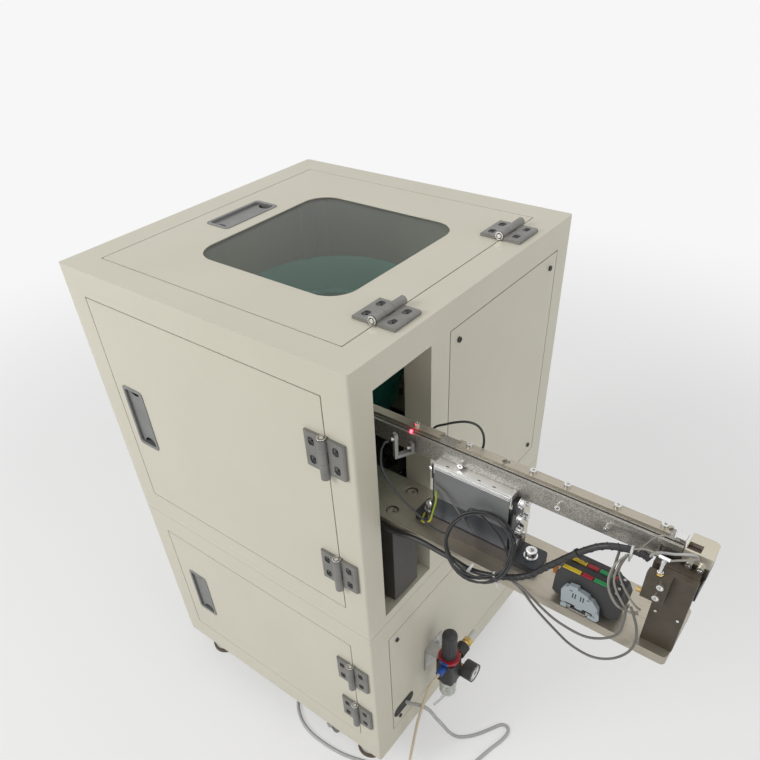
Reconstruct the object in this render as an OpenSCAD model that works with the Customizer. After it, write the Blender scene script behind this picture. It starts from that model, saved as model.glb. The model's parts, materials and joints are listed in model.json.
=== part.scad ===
// Automatic screw feeder: a two-part steel cabinet on casters and levelling feet holds a vibratory
// bowl, and a vibrating linear track carries the screws out through the side to a pick-up end.
// +Z is up, the doors face -Y and the track leaves along +X. The origin is on the floor, under the
// middle of the cabinet.

/* [Cabinet] */
// Width and depth of the cabinet
cab_w = 600; // [560:5:700]
// Height of the gap between the floor and the cabinet
foot_h = 70; // [66:1:90]
// Height of the lower cabinet
lower_h = 421; // [400:1:480]
// Thickness of the deck plate between the two cabinets
deck_t = 18; // [12:1:25]
// Height of the upper cabinet
upper_h = 511; // [500:1:560]
// Sheet thickness of both cabinets
wall = 2; // [1.5:0.1:3]
// Radius of the cabinet's upright corners
corner_r = 5; // [3:0.5:8]
// Width of the doors and of the lid
door_w = 500; // [460:1:504]
// Height of the upper door
upper_door_h = 424; // [400:1:430]
// Height of the lower door
lower_door_h = 308; // [290:1:312]
// Height of the upper door's lower edge over the deck plate
upper_sill = 39; // [36:1:44]
// Height of the lower door's lower edge over the lower cabinet's floor
lower_sill = 60; // [50:1:62]
// Gap round every door, lid and panel
door_gap = 2; // [1.5:0.1:3]
// Depth of the folded edge of doors, lid and panels
door_t = 20; // [20:1:24]
// Sheet thickness of doors, lid and panels
skin = 1.5; // [1:0.1:2]

/* [Window and side openings] */
// Width of the window in the lid
window_w = 306; // [260:1:330]
// Depth of the window in the lid
window_d = 316; // [260:1:330]
// Corner radius of the window
window_r = 45; // [20:1:60]
// Thickness of the window glass
glass_t = 4; // [3:0.5:6]
// Width of the side opening that the track leaves by
exit_w = 133; // [125:1:140]
// Height of the lower edge of that opening over the deck plate
exit_sill = 4; // [3:1:20]
// Width of the upper right side panel
side_panel_w = 328; // [300:1:330]
// Length of the cable slot
slot_w = 66; // [50:1:80]
// Height of the cable slot
slot_h = 30; // [20:1:36]

/* [Hinges and pulls] */
// Length of a hinge
hinge_l = 60; // [50:1:70]
// Width of one hinge leaf
leaf_w = 36; // [30:1:40]
// Thickness of a hinge leaf
leaf_t = 6; // [4:0.5:6.5]
// Radius of a hinge knuckle
knuckle_r = 7; // [6:0.1:7]
// Radius of a hinge pin
pin_r = 3; // [2:0.1:4]
// Running clearance of pins and pivots
run_gap = 0.05; // [0.02:0.01:0.09]
// Width of a flush pull
pull_w = 54; // [48:1:60]
// Length of a flush pull
pull_l = 128; // [110:1:140]

/* [Casters and feet] */
// Radius of a caster wheel
wheel_r = 25; // [20:1:27]
// Width of a caster wheel
wheel_w = 18; // [14:1:22]
// Offset of a caster wheel from its swivel
caster_trail = 32; // [30:1:36]
// Radius of a levelling foot
foot_r = 33; // [26:1:36]

/* [Track] */
// Width of the slot that the screws hang in
slot_gap = 2.4; // [2:0.1:4]
// Thickness of the near rail
near_rail_t = 4.3; // [3:0.1:6]
// Width of the far rail
far_rail_t = 18.3; // [15:0.1:20]
// Height of both rails
rail_h = 30; // [24:1:34]
// Height of the track's top over the beam
track_over_beam = 144; // [138:1:160]
// Length of both rails
track_l = 647; // [600:1:660]
// Thickness of the cover strips on the far rail
cover_t = 3; // [2:0.5:5]
// Travel of the track's vibration to each side
track_swing = 0.25; // [0.1:0.05:0.25]
// Length of the linear drive's top block
drive_l = 122; // [100:1:140]
// Width of the linear drive
drive_w = 40; // [36:1:46]

/* [Beam and end] */
// Width of the beam
beam_w = 94; // [80:1:100]
// Thickness of the beam
beam_t = 15; // [10:1:20]
// Length of the beam
beam_l = 535; // [520:1:560]
// Height of the beam's top over the deck plate
beam_over_deck = 221; // [200:1:240]
// Height of the end post
post_h = 124; // [110:1:124]
// Travel of the shuttle at the pick-up end
shuttle_travel = 10; // [6:1:10]

/* [Bowl] */
// Outer radius of the bowl at its rim
bowl_r = 172; // [150:1:175]
// Height of the bowl
bowl_h = 180; // [150:1:200]
// Wall thickness of the bowl
bowl_wall = 5; // [4:0.5:8]
// Turns of the spiral track in the bowl
bowl_turns = 2.5; // [1:0.25:3]

/* [Air supply] */
// Radius of the regulator body
reg_r = 20; // [18:1:24]
// Radius of the regulator knob
knob_r = 15.5; // [12:0.5:18]
// Radius of the pressure gauge
gauge_r = 20; // [16:1:24]

/* [Cords] */
// Diameter of the mains cable
mains_d = 8; // [6:0.5:10]
// Diameter of the air tube
air_d = 6; // [4:0.5:8]

/* [Hidden] */
$fn = 48;

eps = 0.5;
big = 1000;
seat = 0.3;
half = cab_w / 2;
lower_z = foot_h;
deck_z = lower_z + lower_h;
upper_z = deck_z + deck_t;
top_z = upper_z + upper_h;

// Openings of the cabinets, measured from their middles
open_w = door_w + 2 * door_gap;
upper_open_h = upper_door_h + 2 * door_gap;
lower_open_h = lower_door_h + 2 * door_gap;
upper_mid = upper_z + upper_sill + upper_door_h / 2;
lower_mid = lower_z + lower_sill + lower_door_h / 2;
return_t = door_t + 4;
lip_w = 12;
lip_t = 2;

// Side panel and exit on the right face
side_open_w = side_panel_w + 2 * door_gap;
side_panel_y = open_w / 2 - side_open_w / 2 + 5;
exit_y = -open_w / 2 - 3 + exit_w / 2;
exit_h = upper_mid + upper_open_h / 2 - upper_z - exit_sill;
exit_mid = upper_z + exit_sill + exit_h / 2;
slot_y = -door_w / 2 + slot_w / 2 + 3;
slot_z = lower_z + 106;

// Track and beam share one centre line
line_y = exit_y;
beam_z = upper_z + beam_over_deck;
track_z = beam_z + track_over_beam;
rail_z = track_z - rail_h;
track_x = 50;
track_end = track_x + track_l;
beam_x = 192;
beam_end = beam_x + beam_l;
near_y = line_y - slot_gap / 2 - near_rail_t;
far_y = line_y + slot_gap / 2;
cover_y = far_y + 4.3;
cover_w = far_rail_t - 4.3;
drive_x = 425;
drive_y = line_y - 0.5;
drive_base_h = 62;
top_block_h = 18;
top_block_z = rail_z + 10 - top_block_h;

// Bowl
drive_foot_h = 20;
drive_base_t = 70;
spring_h = 120;
bowl_plate_t = 15;
bowl_z = upper_z + drive_foot_h + drive_base_t + spring_h + bowl_plate_t;
bowl_top = bowl_z + bowl_h;
bowl_floor_r = 118;

// Air supply stands off the lower right panel
reg_x = half + 50;
reg_y = -124;
reg_rise = 143;
reg_z = lower_z + reg_rise;

// Straight tools ------------------------------------------------------------------------------

module rounded(w, d, r) {
    square([w - 2 * r, d], center = true);
    square([w, d - 2 * r], center = true);
    for (x = [-1, 1], y = [-1, 1])
        translate([x * (w / 2 - r), y * (d / 2 - r)]) circle(r);
}

module plate(w, d, r, h) {
    linear_extrude(h) rounded(w, d, r);
}

module slab(w, d, h) {
    translate([-w / 2, -d / 2, 0]) cube([w, d, h]);
}

// Places a shape drawn flat, outside upwards, on one side of the cabinet
module on_front(u, v) { translate([u, -half, v]) rotate([90, 0, 0]) children(); }
module on_rear(u, v) { translate([-u, half, v]) rotate([90, 0, 180]) children(); }
module on_right(u, v) { translate([half, u, v]) rotate([90, 0, 90]) children(); }
module on_left(u, v) { translate([-half, -u, v]) rotate([90, 0, -90]) children(); }
module on_top(u, v) { translate([u, v, top_z]) children(); }

// Hole for a door or panel, and the folded edge with its stop lip
module opening(w, h) { translate([0, 0, -wall - eps]) slab(w, h, wall + 2 * eps); }

module opening_return(w, h, lip = lip_w) {
    difference() {
        translate([0, 0, -return_t]) slab(w + 2 * wall, h + 2 * wall, return_t - wall / 2);
        translate([0, 0, -return_t + lip_t]) slab(w, h, return_t);
        translate([0, 0, -return_t - eps]) slab(w - 2 * lip, h - 2 * lip, return_t);
    }
}

// A folded sheet panel, skin outside
module tray(w, h, t = door_t) {
    difference() {
        translate([0, 0, -t]) plate(w, h, 2, t);
        translate([0, 0, -t - eps]) slab(w - 2 * skin, h - 2 * skin, t - skin + eps);
    }
}

module socket_screw(r, h) {
    difference() {
        cylinder(r = r, h = h);
        translate([0, 0, h * 0.45]) cylinder(r = r * 0.55, h = h, $fn = 6);
    }
}

// Cabinets ------------------------------------------------------------------------------------

module shell(z, h, floor_on, roof_on) {
    difference() {
        translate([0, 0, z]) plate(cab_w, cab_w, corner_r, h);
        translate([0, 0, z + wall])
            plate(cab_w - 2 * wall, cab_w - 2 * wall, corner_r - wall, h - 2 * wall);
        if (!floor_on) translate([0, 0, z - eps]) slab(open_w, open_w, wall + 2 * eps);
        if (!roof_on) translate([0, 0, z + h - wall - eps]) slab(open_w, open_w, wall + 2 * eps);
    }
}

module lower_openings() {
    on_front(0, lower_mid) children();
    on_rear(0, lower_mid) children();
    on_right(0, lower_mid) children();
    on_left(0, lower_mid) children();
}

module lower_cabinet() color("ivory") {
    difference() {
        shell(lower_z, lower_h, true, false);
        lower_openings() opening(open_w, lower_open_h);
    }
    lower_openings() opening_return(open_w, lower_open_h);
}

module deck_plate() color("ivory") translate([0, 0, deck_z]) plate(cab_w, cab_w, corner_r, deck_t);

module upper_cabinet() color("ivory") {
    difference() {
        shell(upper_z, upper_h, false, false);
        on_front(0, upper_mid) opening(open_w, upper_open_h);
        on_rear(0, upper_mid) opening(open_w, upper_open_h);
        on_left(0, upper_mid) opening(open_w, upper_open_h);
        on_right(side_panel_y, upper_mid) opening(side_open_w, upper_open_h);
        on_right(exit_y, exit_mid) opening(exit_w, exit_h);
    }
    on_front(0, upper_mid) opening_return(open_w, upper_open_h);
    on_rear(0, upper_mid) opening_return(open_w, upper_open_h);
    on_left(0, upper_mid) opening_return(open_w, upper_open_h);
    on_right(side_panel_y, upper_mid) opening_return(side_open_w, upper_open_h);
    on_right(exit_y, exit_mid) opening_return(exit_w, exit_h, 0);
    on_top(0, 0) opening_return(open_w, open_w);
}

// Fixed panels --------------------------------------------------------------------------------

screw_in = 22;
screw_r = 4.5;
screw_h = 3;

module panel_screw_set(w, h) {
    for (x = [-1, 1], y = [-1, 1])
        translate([x * (w / 2 - screw_in), y * (h / 2 - screw_in), 0]) socket_screw(screw_r, screw_h);
}

// A fixed panel bears on the stop lip of its opening
panel_t = return_t - lip_t;

module right_upper_panel() color("ivory") on_right(side_panel_y, upper_mid)
    tray(side_panel_w, upper_door_h, panel_t);

module right_lower_panel() color("ivory") difference() {
    on_right(0, lower_mid) tray(door_w, lower_door_h, panel_t);
    on_right(slot_y, slot_z) translate([0, 0, -skin - eps])
        plate(slot_w, slot_h, slot_h / 2 - 1, skin + 2 * eps);
}

module left_and_rear_panels() color("ivory") {
    on_left(0, upper_mid) tray(door_w, upper_door_h, panel_t);
    on_left(0, lower_mid) tray(door_w, lower_door_h, panel_t);
    on_rear(0, upper_mid) tray(door_w, upper_door_h, panel_t);
    on_rear(0, lower_mid) tray(door_w, lower_door_h, panel_t);
}

module panel_screws() color("dimgray") {
    on_right(side_panel_y, upper_mid) panel_screw_set(side_panel_w, upper_door_h);
    on_right(0, lower_mid) panel_screw_set(door_w, lower_door_h);
    on_left(0, upper_mid) panel_screw_set(door_w, upper_door_h);
    on_left(0, lower_mid) panel_screw_set(door_w, lower_door_h);
    on_rear(0, upper_mid) panel_screw_set(door_w, upper_door_h);
    on_rear(0, lower_mid) panel_screw_set(door_w, lower_door_h);
}

grommet_t = 3;
mains_y = slot_y + 6.5;
mains_z = slot_z + 2;

// Rubber infill of the cable slot, with the hole that the mains cable leaves by
module cable_grommet() color("black") on_right(slot_y, slot_z) difference() {
    union() {
        translate([0, 0, -skin - grommet_t]) plate(slot_w + 2, slot_h + 4, slot_h / 2, grommet_t);
        translate([0, 0, -skin])
            plate(slot_w - 2 * seat, slot_h - 2 * seat, slot_h / 2 - 1 - seat, skin + 1);
    }
    translate([mains_y - slot_y, mains_z - slot_z, -big / 2]) cylinder(r = mains_d / 2 + 2 * seat, h = big);
}

// Feet and casters ----------------------------------------------------------------------------

foot_pitch_x = 238;
foot_pitch_y = 254;
stem_r = 6;
rim_h = 10;

module levelling_foot() {
    difference() {
        cylinder(r = foot_r, h = rim_h);
        translate([0, 0, 4]) cylinder(r = foot_r - 4, h = rim_h);
    }
    translate([0, 0, 4]) {
        rotate_extrude() polygon([[0, 0], [foot_r - 4, 0], [foot_r - 4, 5], [foot_r - 9, 12],
            [16, 19], [10, 22], [0, 22]]);
        cylinder(r = stem_r, h = foot_h - 4);
        translate([0, 0, foot_h - 4 - 8]) cylinder(r = 10, h = 8, $fn = 6);
    }
}

module levelling_feet() color("silver")
    for (x = [-1, 1], y = [-1, 1]) translate([x * foot_pitch_x, y * foot_pitch_y, 0]) levelling_foot();

caster_x = 114;
caster_y = 262;
caster_lift = 3;
axle_z = wheel_r + caster_lift;
axle_r = 4;
plate_t = 4;
plate_z = foot_h - plate_t;
race_h = 6;
fork_top = plate_z - race_h - seat;
fork_t = 2.5;
cheek_x = wheel_w / 2 + 1.5;
front_left_turn = 150;
front_right_turn = -20;
rear_turn = 180;

module at_caster(x, y, turn) { translate([x, y, 0]) rotate([0, 0, turn]) children(); }

// The wheel's middle lies caster_trail along the local +X
module wheel() color("gray") translate([caster_trail, 0, axle_z]) rotate([90, 0, 0]) difference() {
    rotate_extrude() polygon([[axle_r + run_gap, -wheel_w / 2], [10, -wheel_w / 2],
        [11, -wheel_w / 2 + 3], [wheel_r - 6, -wheel_w / 2 + 3], [wheel_r - 5, -wheel_w / 2],
        [wheel_r - 2, -wheel_w / 2], [wheel_r, -wheel_w / 2 + 3], [wheel_r, wheel_w / 2 - 3],
        [wheel_r - 2, wheel_w / 2], [wheel_r - 5, wheel_w / 2], [wheel_r - 6, wheel_w / 2 - 3],
        [11, wheel_w / 2 - 3], [10, wheel_w / 2], [axle_r + run_gap, wheel_w / 2]]);
}

module fork() color("silver") {
    for (s = [-1, 1]) translate([0, s * cheek_x + (s < 0 ? -fork_t : 0), 0]) difference() {
        rotate([90, 0, 0]) mirror([0, 0, 1]) linear_extrude(fork_t) {
            translate([caster_trail, axle_z]) circle(10);
            polygon([[-18, fork_top], [18, fork_top], [caster_trail + 9, axle_z + 5],
                [caster_trail - 2, axle_z - 9.5], [caster_trail - 9, axle_z - 4]]);
        }
    }
    translate([-18, -cheek_x - fork_t, fork_top - fork_t])
        cube([36, 2 * (cheek_x + fork_t), fork_t]);
    translate([caster_trail, 0, axle_z]) rotate([90, 0, 0])
        cylinder(r = axle_r, h = 2 * (cheek_x + fork_t + 3), center = true);
    for (s = [-1, 1]) translate([caster_trail, s * (cheek_x + fork_t + 2), axle_z])
        rotate([90, 0, 0]) cylinder(r = 7, h = 4, center = true, $fn = 6);
}

module caster_top() {
    translate([0, 0, plate_z]) plate(60, 60, 5, plate_t);
    translate([0, 0, plate_z - race_h]) cylinder(r = 17, h = race_h);
}

// Four top plates, and the two rigid forks at the rear
module caster_plates() color("silver") {
    for (x = [-1, 1], y = [-1, 1]) translate([x * caster_x, y * caster_y, 0]) caster_top();
    for (x = [-1, 1]) at_caster(x * caster_x, caster_y, rear_turn) {
        fork();
        translate([0, 0, fork_top - eps]) cylinder(r = 14, h = seat + 2 * eps);
    }
}

module front_left_fork() at_caster(-caster_x, -caster_y, front_left_turn) fork();
module front_right_fork() at_caster(caster_x, -caster_y, front_right_turn) fork();
module front_left_wheel() at_caster(-caster_x, -caster_y, front_left_turn) wheel();
module front_right_wheel() at_caster(caster_x, -caster_y, front_right_turn) wheel();
module rear_left_wheel() at_caster(-caster_x, caster_y, rear_turn) wheel();
module rear_right_wheel() at_caster(caster_x, caster_y, rear_turn) wheel();

// Hinges --------------------------------------------------------------------------------------

pin_z = knuckle_r + 0.5;
hinge_u = door_w / 2 + door_gap / 2;
knuckle_l = 19.4;
tail_l = 8;
leaf_x = knuckle_r + 0.8;
upper_hinges = [upper_mid + 119, upper_mid - 118];
lower_hinges = [lower_mid + 66, lower_mid - 66];
lid_hinges = [-157, 170];

// One leaf, drawn flat with its pin along Y; s is 1 for the frame's leaf and -1 for the door's
module hinge_leaf(s) color("silver") difference() {
    union() {
        translate([s > 0 ? leaf_x : -leaf_w, -hinge_l / 2, 0]) difference() {
            cube([leaf_w - leaf_x, hinge_l, leaf_t]);
            translate([s > 0 ? leaf_w - leaf_x : 0, 0, leaf_t]) rotate([0, 45, 0])
                cube([3, 3 * hinge_l, 3], center = true);
        }
        spans = s > 0 ? [[-hinge_l / 2 - tail_l, hinge_l / 2 - knuckle_l / 2 + tail_l - seat],
            [knuckle_l / 2 + seat, hinge_l / 2 - knuckle_l / 2 - seat]]
            : [[-knuckle_l / 2, knuckle_l]];
        for (k = spans) translate([0, k[0], 0]) {
            translate([0, 0, pin_z]) rotate([-90, 0, 0]) cylinder(r = knuckle_r, h = k[1]);
            web_y = max(0, -hinge_l / 2 - k[0]);
            translate([s > 0 ? 0 : -leaf_x - eps, web_y, 0.8])
                cube([leaf_x + eps, k[1] - web_y, leaf_t - 0.8]);
        }
    }
    translate([0, -big / 2, pin_z]) rotate([-90, 0, 0]) cylinder(r = pin_r + run_gap, h = big);
    for (y = [-1, 1]) translate([s * (leaf_x + leaf_w) / 2, y * 16, leaf_t - 2.5]) {
        plate(11, 15, 5, 5);
        translate([0, 0, -10]) cylinder(r = 2.6, h = 12);
    }
}

module hinge_pin() {
    translate([0, -hinge_l / 2 - tail_l, pin_z]) rotate([-90, 0, 0])
        cylinder(r = pin_r, h = hinge_l + tail_l + 1);
    translate([0, hinge_l / 2 + seat, pin_z]) rotate([-90, 0, 0]) cylinder(r = 5.5, h = 1.5);
}

module upper_hinge_places() for (z = upper_hinges) on_front(hinge_u, z) children();
module lower_hinge_places() for (z = lower_hinges) on_front(hinge_u, z) children();
module lid_hinge_places() for (y = lid_hinges)
    translate([hinge_u, y, top_z]) mirror([0, 1, 0]) children();

module frame_hinge_leaves() {
    upper_hinge_places() hinge_leaf(1);
    lower_hinge_places() hinge_leaf(1);
    lid_hinge_places() hinge_leaf(1);
}

module hinge_pins() color("whitesmoke") {
    upper_hinge_places() hinge_pin();
    lower_hinge_places() hinge_pin();
    lid_hinge_places() hinge_pin();
}

module upper_door_leaves() upper_hinge_places() hinge_leaf(-1);
module lower_door_leaves() lower_hinge_places() hinge_leaf(-1);
module lid_hinge_leaves() lid_hinge_places() hinge_leaf(-1);

// Flush pulls ---------------------------------------------------------------------------------

pull_depth = 17;
tub_w = pull_w - 8;
tub_l = pull_l - 10;
tub_wall = 1.5;
flange_t = 1.5;
paddle_t = 2;
paddle_z = -5;
pull_pivot_u = tub_w / 2 - tub_wall - 3;
pivot_r = 1.6;
upper_pull = [-door_w / 2 + 46, upper_mid - 8];
lower_pull = [-door_w / 2 + 59, lower_mid - 8];
lid_pull_at = [-door_w / 2 + 60, 3];

module pull_cup() color("gray") difference() {
    union() {
        plate(pull_w, pull_l, 8, flange_t);
        translate([0, 0, -pull_depth]) plate(tub_w, tub_l, 6, pull_depth + eps);
    }
    translate([0, 0, -pull_depth + tub_wall])
        plate(tub_w - 2 * tub_wall, tub_l - 2 * tub_wall, 5, pull_depth + big);
}

// Flap in the pull, pressed in to reach behind its edge; scooped at both ends
module pull_paddle() color("darkgray") difference() {
    translate([0, 0, paddle_z])
        plate(tub_w - 2 * tub_wall - 2 * seat, tub_l - 2 * tub_wall - 2 * seat, 4.7, paddle_t);
    for (y = [-1, 1]) translate([0, y * (tub_l / 2 + 2), paddle_z - eps])
        cylinder(r = 15, h = paddle_t + 2 * eps);
}

// The flap turns on a rod rolled into its edge
module paddle() {
    pull_paddle();
    color("darkgray") translate([pull_pivot_u, -tub_l / 2 + 5, paddle_z]) rotate([-90, 0, 0])
        cylinder(r = pivot_r, h = tub_l - 10);
}

module pull_cut() translate([0, 0, -skin - eps])
    plate(tub_w + 2 * seat, tub_l + 2 * seat, 6 + seat, skin + 2 * eps);

// Doors and lid -------------------------------------------------------------------------------

module upper_door_panel() color("ivory") difference() {
    on_front(0, upper_mid) tray(door_w, upper_door_h);
    on_front(upper_pull[0], upper_pull[1]) pull_cut();
}
module upper_door_pull() on_front(upper_pull[0], upper_pull[1]) pull_cup();
module upper_door_paddle() on_front(upper_pull[0], upper_pull[1]) paddle();

module lower_door_panel() color("ivory") difference() {
    on_front(0, lower_mid) tray(door_w, lower_door_h);
    on_front(lower_pull[0], lower_pull[1]) pull_cut();
}
module lower_door_pull() on_front(lower_pull[0], lower_pull[1]) pull_cup();
module lower_door_paddle() on_front(lower_pull[0], lower_pull[1]) paddle();

window_at = [15, -3];
glass_lap = 12;

module lid_panel() color("ivory") difference() {
    on_top(0, 0) tray(door_w, door_w);
    on_top(window_at[0], window_at[1]) translate([0, 0, -skin - eps])
        plate(window_w, window_d, window_r, skin + 2 * eps);
    on_top(lid_pull_at[0], lid_pull_at[1]) pull_cut();
}

// The pane lies under the lid's skin and laps behind its edge
module lid_window() color([0.2, 0.25, 0.25, 0.5]) on_top(window_at[0], window_at[1])
    translate([0, 0, -skin - glass_t])
        plate(window_w + 2 * glass_lap, window_d + 2 * glass_lap, window_r + glass_lap, glass_t);

module lid_pull() on_top(lid_pull_at[0], lid_pull_at[1]) pull_cup();
module lid_paddle() on_top(lid_pull_at[0], lid_pull_at[1]) paddle();

// Bowl feeder ---------------------------------------------------------------------------------

drive_r = 140;
rubber_r = 18;
spring_n = 3;
spring_lean = 16;
spring_w = 40;
spring_t = 6;

module bowl_drive() {
    base_z = upper_z + drive_foot_h;
    color("dimgray") for (i = [0:2]) rotate([0, 0, 30 + i * 120])
        translate([drive_r - rubber_r - 6, 0, upper_z]) cylinder(r = rubber_r, h = drive_foot_h);
    color("slategray") translate([0, 0, base_z]) difference() {
        cylinder(r = drive_r, h = drive_base_t);
        translate([0, 0, drive_base_t - 25]) rotate_extrude()
            translate([drive_r - 28, 0]) square([40, 26]);
    }
    // Electromagnet under the middle of the bowl plate
    color("darkred") translate([0, 0, base_z + drive_base_t - eps]) slab(70, 60, 60);
    // Leaning spring packs, clamped to the base
    color("dimgray") for (i = [0:spring_n - 1]) rotate([0, 0, i * 360 / spring_n]) intersection() {
        translate([drive_r - 32, 0, base_z + drive_base_t + spring_h / 2])
            rotate([spring_lean, 0, 0]) cube([spring_w / 2, spring_t, 2 * spring_h], center = true);
        translate([-big / 2, -big / 2, base_z + drive_base_t - 25 - eps])
            cube([big, big, spring_h + 25 + eps - seat]);
    }
}

chute_l = track_x - 1.5;
chute_w = 20;
chute_h = 26;
chute_x = -76;
chute_depth = 70;
gate_l = 64;
gate_h = 16;
ledge_w = 16;
ledge_t = 3;
track_start = 22;
track_below_rim = 40;

module bowl() color("teal") {
    translate([0, 0, bowl_z - bowl_plate_t]) cylinder(r = bowl_floor_r, h = bowl_plate_t);
    difference() {
        union() {
            translate([0, 0, bowl_z]) rotate_extrude() polygon([[0, 0], [bowl_floor_r, 0],
                [bowl_r, bowl_h], [bowl_r - bowl_wall, bowl_h],
                [bowl_floor_r - bowl_wall, bowl_wall], [0, bowl_wall + 8]]);
            difference() {
                translate([chute_x, line_y - chute_w / 2, track_z - chute_h])
                    cube([chute_l - chute_x, chute_depth, chute_h]);
                translate([0, 0, bowl_z]) rotate_extrude() polygon([[0, 0],
                    [bowl_floor_r - 1, 0], [bowl_r - 1, bowl_h], [0, bowl_h]]);
            }
        }
        translate([chute_x - 40, line_y - slot_gap / 2, track_z - 12]) cube([big, slot_gap, 20]);
        translate([chute_x / 2 - gate_l / 2, line_y, track_z]) cube([gate_l, chute_depth, gate_h]);
    }
}

// Wall radius at a height over the bowl's floor, inside
function bowl_in(h) = bowl_floor_r - bowl_wall
    + (bowl_r - bowl_floor_r) * (h - bowl_wall) / (bowl_h - bowl_wall);

// The rising ledge that the screws climb, swept as one helix
module spiral_track() color("teal") {
    steps = round(bowl_turns * 24);
    rise = bowl_h - track_start - track_below_rim;
    rings = [for (i = [0:steps]) let (
            a = -90 - 360 * bowl_turns * (1 - i / steps), h = track_start + rise * i / steps,
            r1 = bowl_in(h) - seat, r2 = bowl_in(h + ledge_t) - seat, r0 = r1 - ledge_w)
        [for (p = [[r0, h], [r1, h], [r2, h + ledge_t], [r0, h + ledge_t]])
            [p[0] * cos(a), p[0] * sin(a), bowl_z + p[1]]]];
    points = [for (ring = rings) each ring];
    faces = concat([[0, 1, 2, 3]],
        [for (i = [0:steps - 1], j = [0:3]) let (k = (j + 1) % 4)
            [i * 4 + j, (i + 1) * 4 + j, (i + 1) * 4 + k]],
        [for (i = [0:steps - 1], j = [0:3]) let (k = (j + 1) % 4)
            [i * 4 + j, (i + 1) * 4 + k, i * 4 + k]],
        [[steps * 4 + 3, steps * 4 + 2, steps * 4 + 1, steps * 4]]);
    polyhedron(points, faces);
}

// Beam and linear drive -----------------------------------------------------------------------

riser_x0 = 206;
riser_l = 90;
riser_foot_l = 84;
riser_w = 66;
riser_foot_w = 102;
riser_flange = 10;

module beam_riser() color("dimgray") {
    translate([open_w / 2 - seat - riser_foot_l / 2, line_y, upper_z])
        plate(riser_foot_l, riser_foot_w, 4, riser_flange);
    translate([riser_x0, line_y - riser_w / 2, upper_z + riser_flange])
        cube([riser_l, riser_w, beam_over_deck - beam_t - riser_flange]);
}

beam_screw_x = 292;
module support_beam() color("tan") {
    difference() {
        translate([beam_x + beam_l / 2, line_y, beam_z - beam_t]) plate(beam_l, beam_w, 6, beam_t);
        for (y = [-1, 1]) translate([beam_screw_x, line_y + y * 26, beam_z - 8])
            cylinder(r = 10, h = 20);
    }
    for (y = [-1, 1]) translate([beam_screw_x, line_y + y * 26, beam_z - 8])
        socket_screw(8, 6);
}

drive_foot_x0 = 330;
drive_foot_x1 = 533;
drive_foot_t = 12;
flange_h = 23;
m10_x = [347, 515];
spring_stack = 6;
spring_low = 27;
spring_end = rail_z - 1;

module linear_drive_base() {
    color([0.15, 0.16, 0.18]) {
        translate([(drive_foot_x0 + drive_foot_x1) / 2, drive_y, beam_z])
            plate(drive_foot_x1 - drive_foot_x0, drive_w, 6, drive_foot_t);
        translate([drive_x - drive_l / 2 - 8, drive_y - drive_w / 2 - 2, beam_z])
            cube([drive_l + 16, drive_w + 4, flange_h]);
        translate([drive_x - drive_l / 2, drive_y - drive_w / 2 + 1, beam_z])
            cube([drive_l, drive_w - 2, drive_base_h]);
    }
    // Drive coil on its laminated core
    color("saddlebrown") translate([drive_x, drive_y, beam_z + drive_base_h])
        slab(56, 30, top_block_z - beam_z - drive_base_h - 1);
    color("silver") for (x = m10_x) translate([x, drive_y, beam_z + drive_foot_t]) {
        cylinder(r = 10, h = 2);
        translate([0, 0, 2]) socket_screw(8, 10);
    }
}

// Two packs of upright leaves, one at each end of the drive, with their clamp screws
module leaf_springs() for (s = [-1, 1]) {
    x = drive_x + s * (drive_l / 2 + seat) + (s < 0 ? -spring_stack : 0);
    color([0.1, 0.1, 0.1]) difference() {
        translate([x, drive_y - 16, beam_z + spring_low])
            cube([spring_stack, 32, spring_end - beam_z - spring_low]);
        translate([x - eps + (s < 0 ? -spring_stack / 2 : spring_stack / 2), drive_y - 17,
            beam_z + spring_low + 20]) cube([spring_stack, 34, 44]);
    }
    color("white") for (y = [-9, 9], z = [beam_z + spring_low + 9, spring_end - 8])
        translate([drive_x + s * (drive_l / 2 + seat + spring_stack), drive_y + y, z])
            rotate([0, s * 90, 0]) socket_screw(5, 5);
}

cover_sheet = 1.5;
cover_drop = 34;
side_pin_x = [401, 545, 610];

// Block that the rails are bolted to, with its two side covers
module drive_top_block() {
    y0 = drive_y - drive_w / 2;
    color("whitesmoke") difference() {
        translate([drive_x - drive_l / 2, y0, top_block_z]) cube([drive_l, drive_w, top_block_h]);
        translate([drive_x - big / 2, near_y - seat, rail_z]) cube([big, big, big]);
    }
    color("gray") for (s = [-1, 1])
        translate([drive_x - drive_l / 2 + 2, drive_y + s * drive_w / 2 + (s < 0 ? -cover_sheet : 0),
            top_block_z - cover_drop]) cube([drive_l - 4, cover_sheet, cover_drop + (s < 0 ? 13 : 7)]);
}

module near_rail() color("tan") {
    translate([track_x, near_y, rail_z]) cube([track_l - 24, near_rail_t, rail_h]);
    translate([track_x, near_y, track_z - 8]) cube([track_l, near_rail_t, 8]);
    for (x = side_pin_x) translate([x, near_y, track_z - 14]) rotate([90, 0, 0]) socket_screw(4, 7);
}

notch_r = 4;
cover_spans = [[track_x + 6, 357], [382, 455], [458, track_end - 20]];
cover_screws = [120, 210, 312, 400, 496, 544, 610, 668];

module far_rail() color("tan") {
    difference() {
        translate([track_x, far_y, rail_z]) cube([track_l, far_rail_t, rail_h]);
        translate([track_end - 16, cover_y, track_z - 20]) cube([20, big, 40]);
    }
    for (c = cover_spans) difference() {
        translate([c[0], cover_y, track_z]) cube([c[1] - c[0], cover_w, cover_t]);
        for (x = c) translate([x, cover_y + cover_w / 2, track_z - eps])
            cylinder(r = notch_r, h = cover_t + 2 * eps);
    }
    translate([track_end - 12, far_y + 1, track_z]) cube([11, 15, 5]);
    for (x = cover_screws) translate([x, cover_y + cover_w / 2, track_z + cover_t])
        socket_screw(4.5, 5);
}

// Pick-up end ---------------------------------------------------------------------------------

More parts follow.
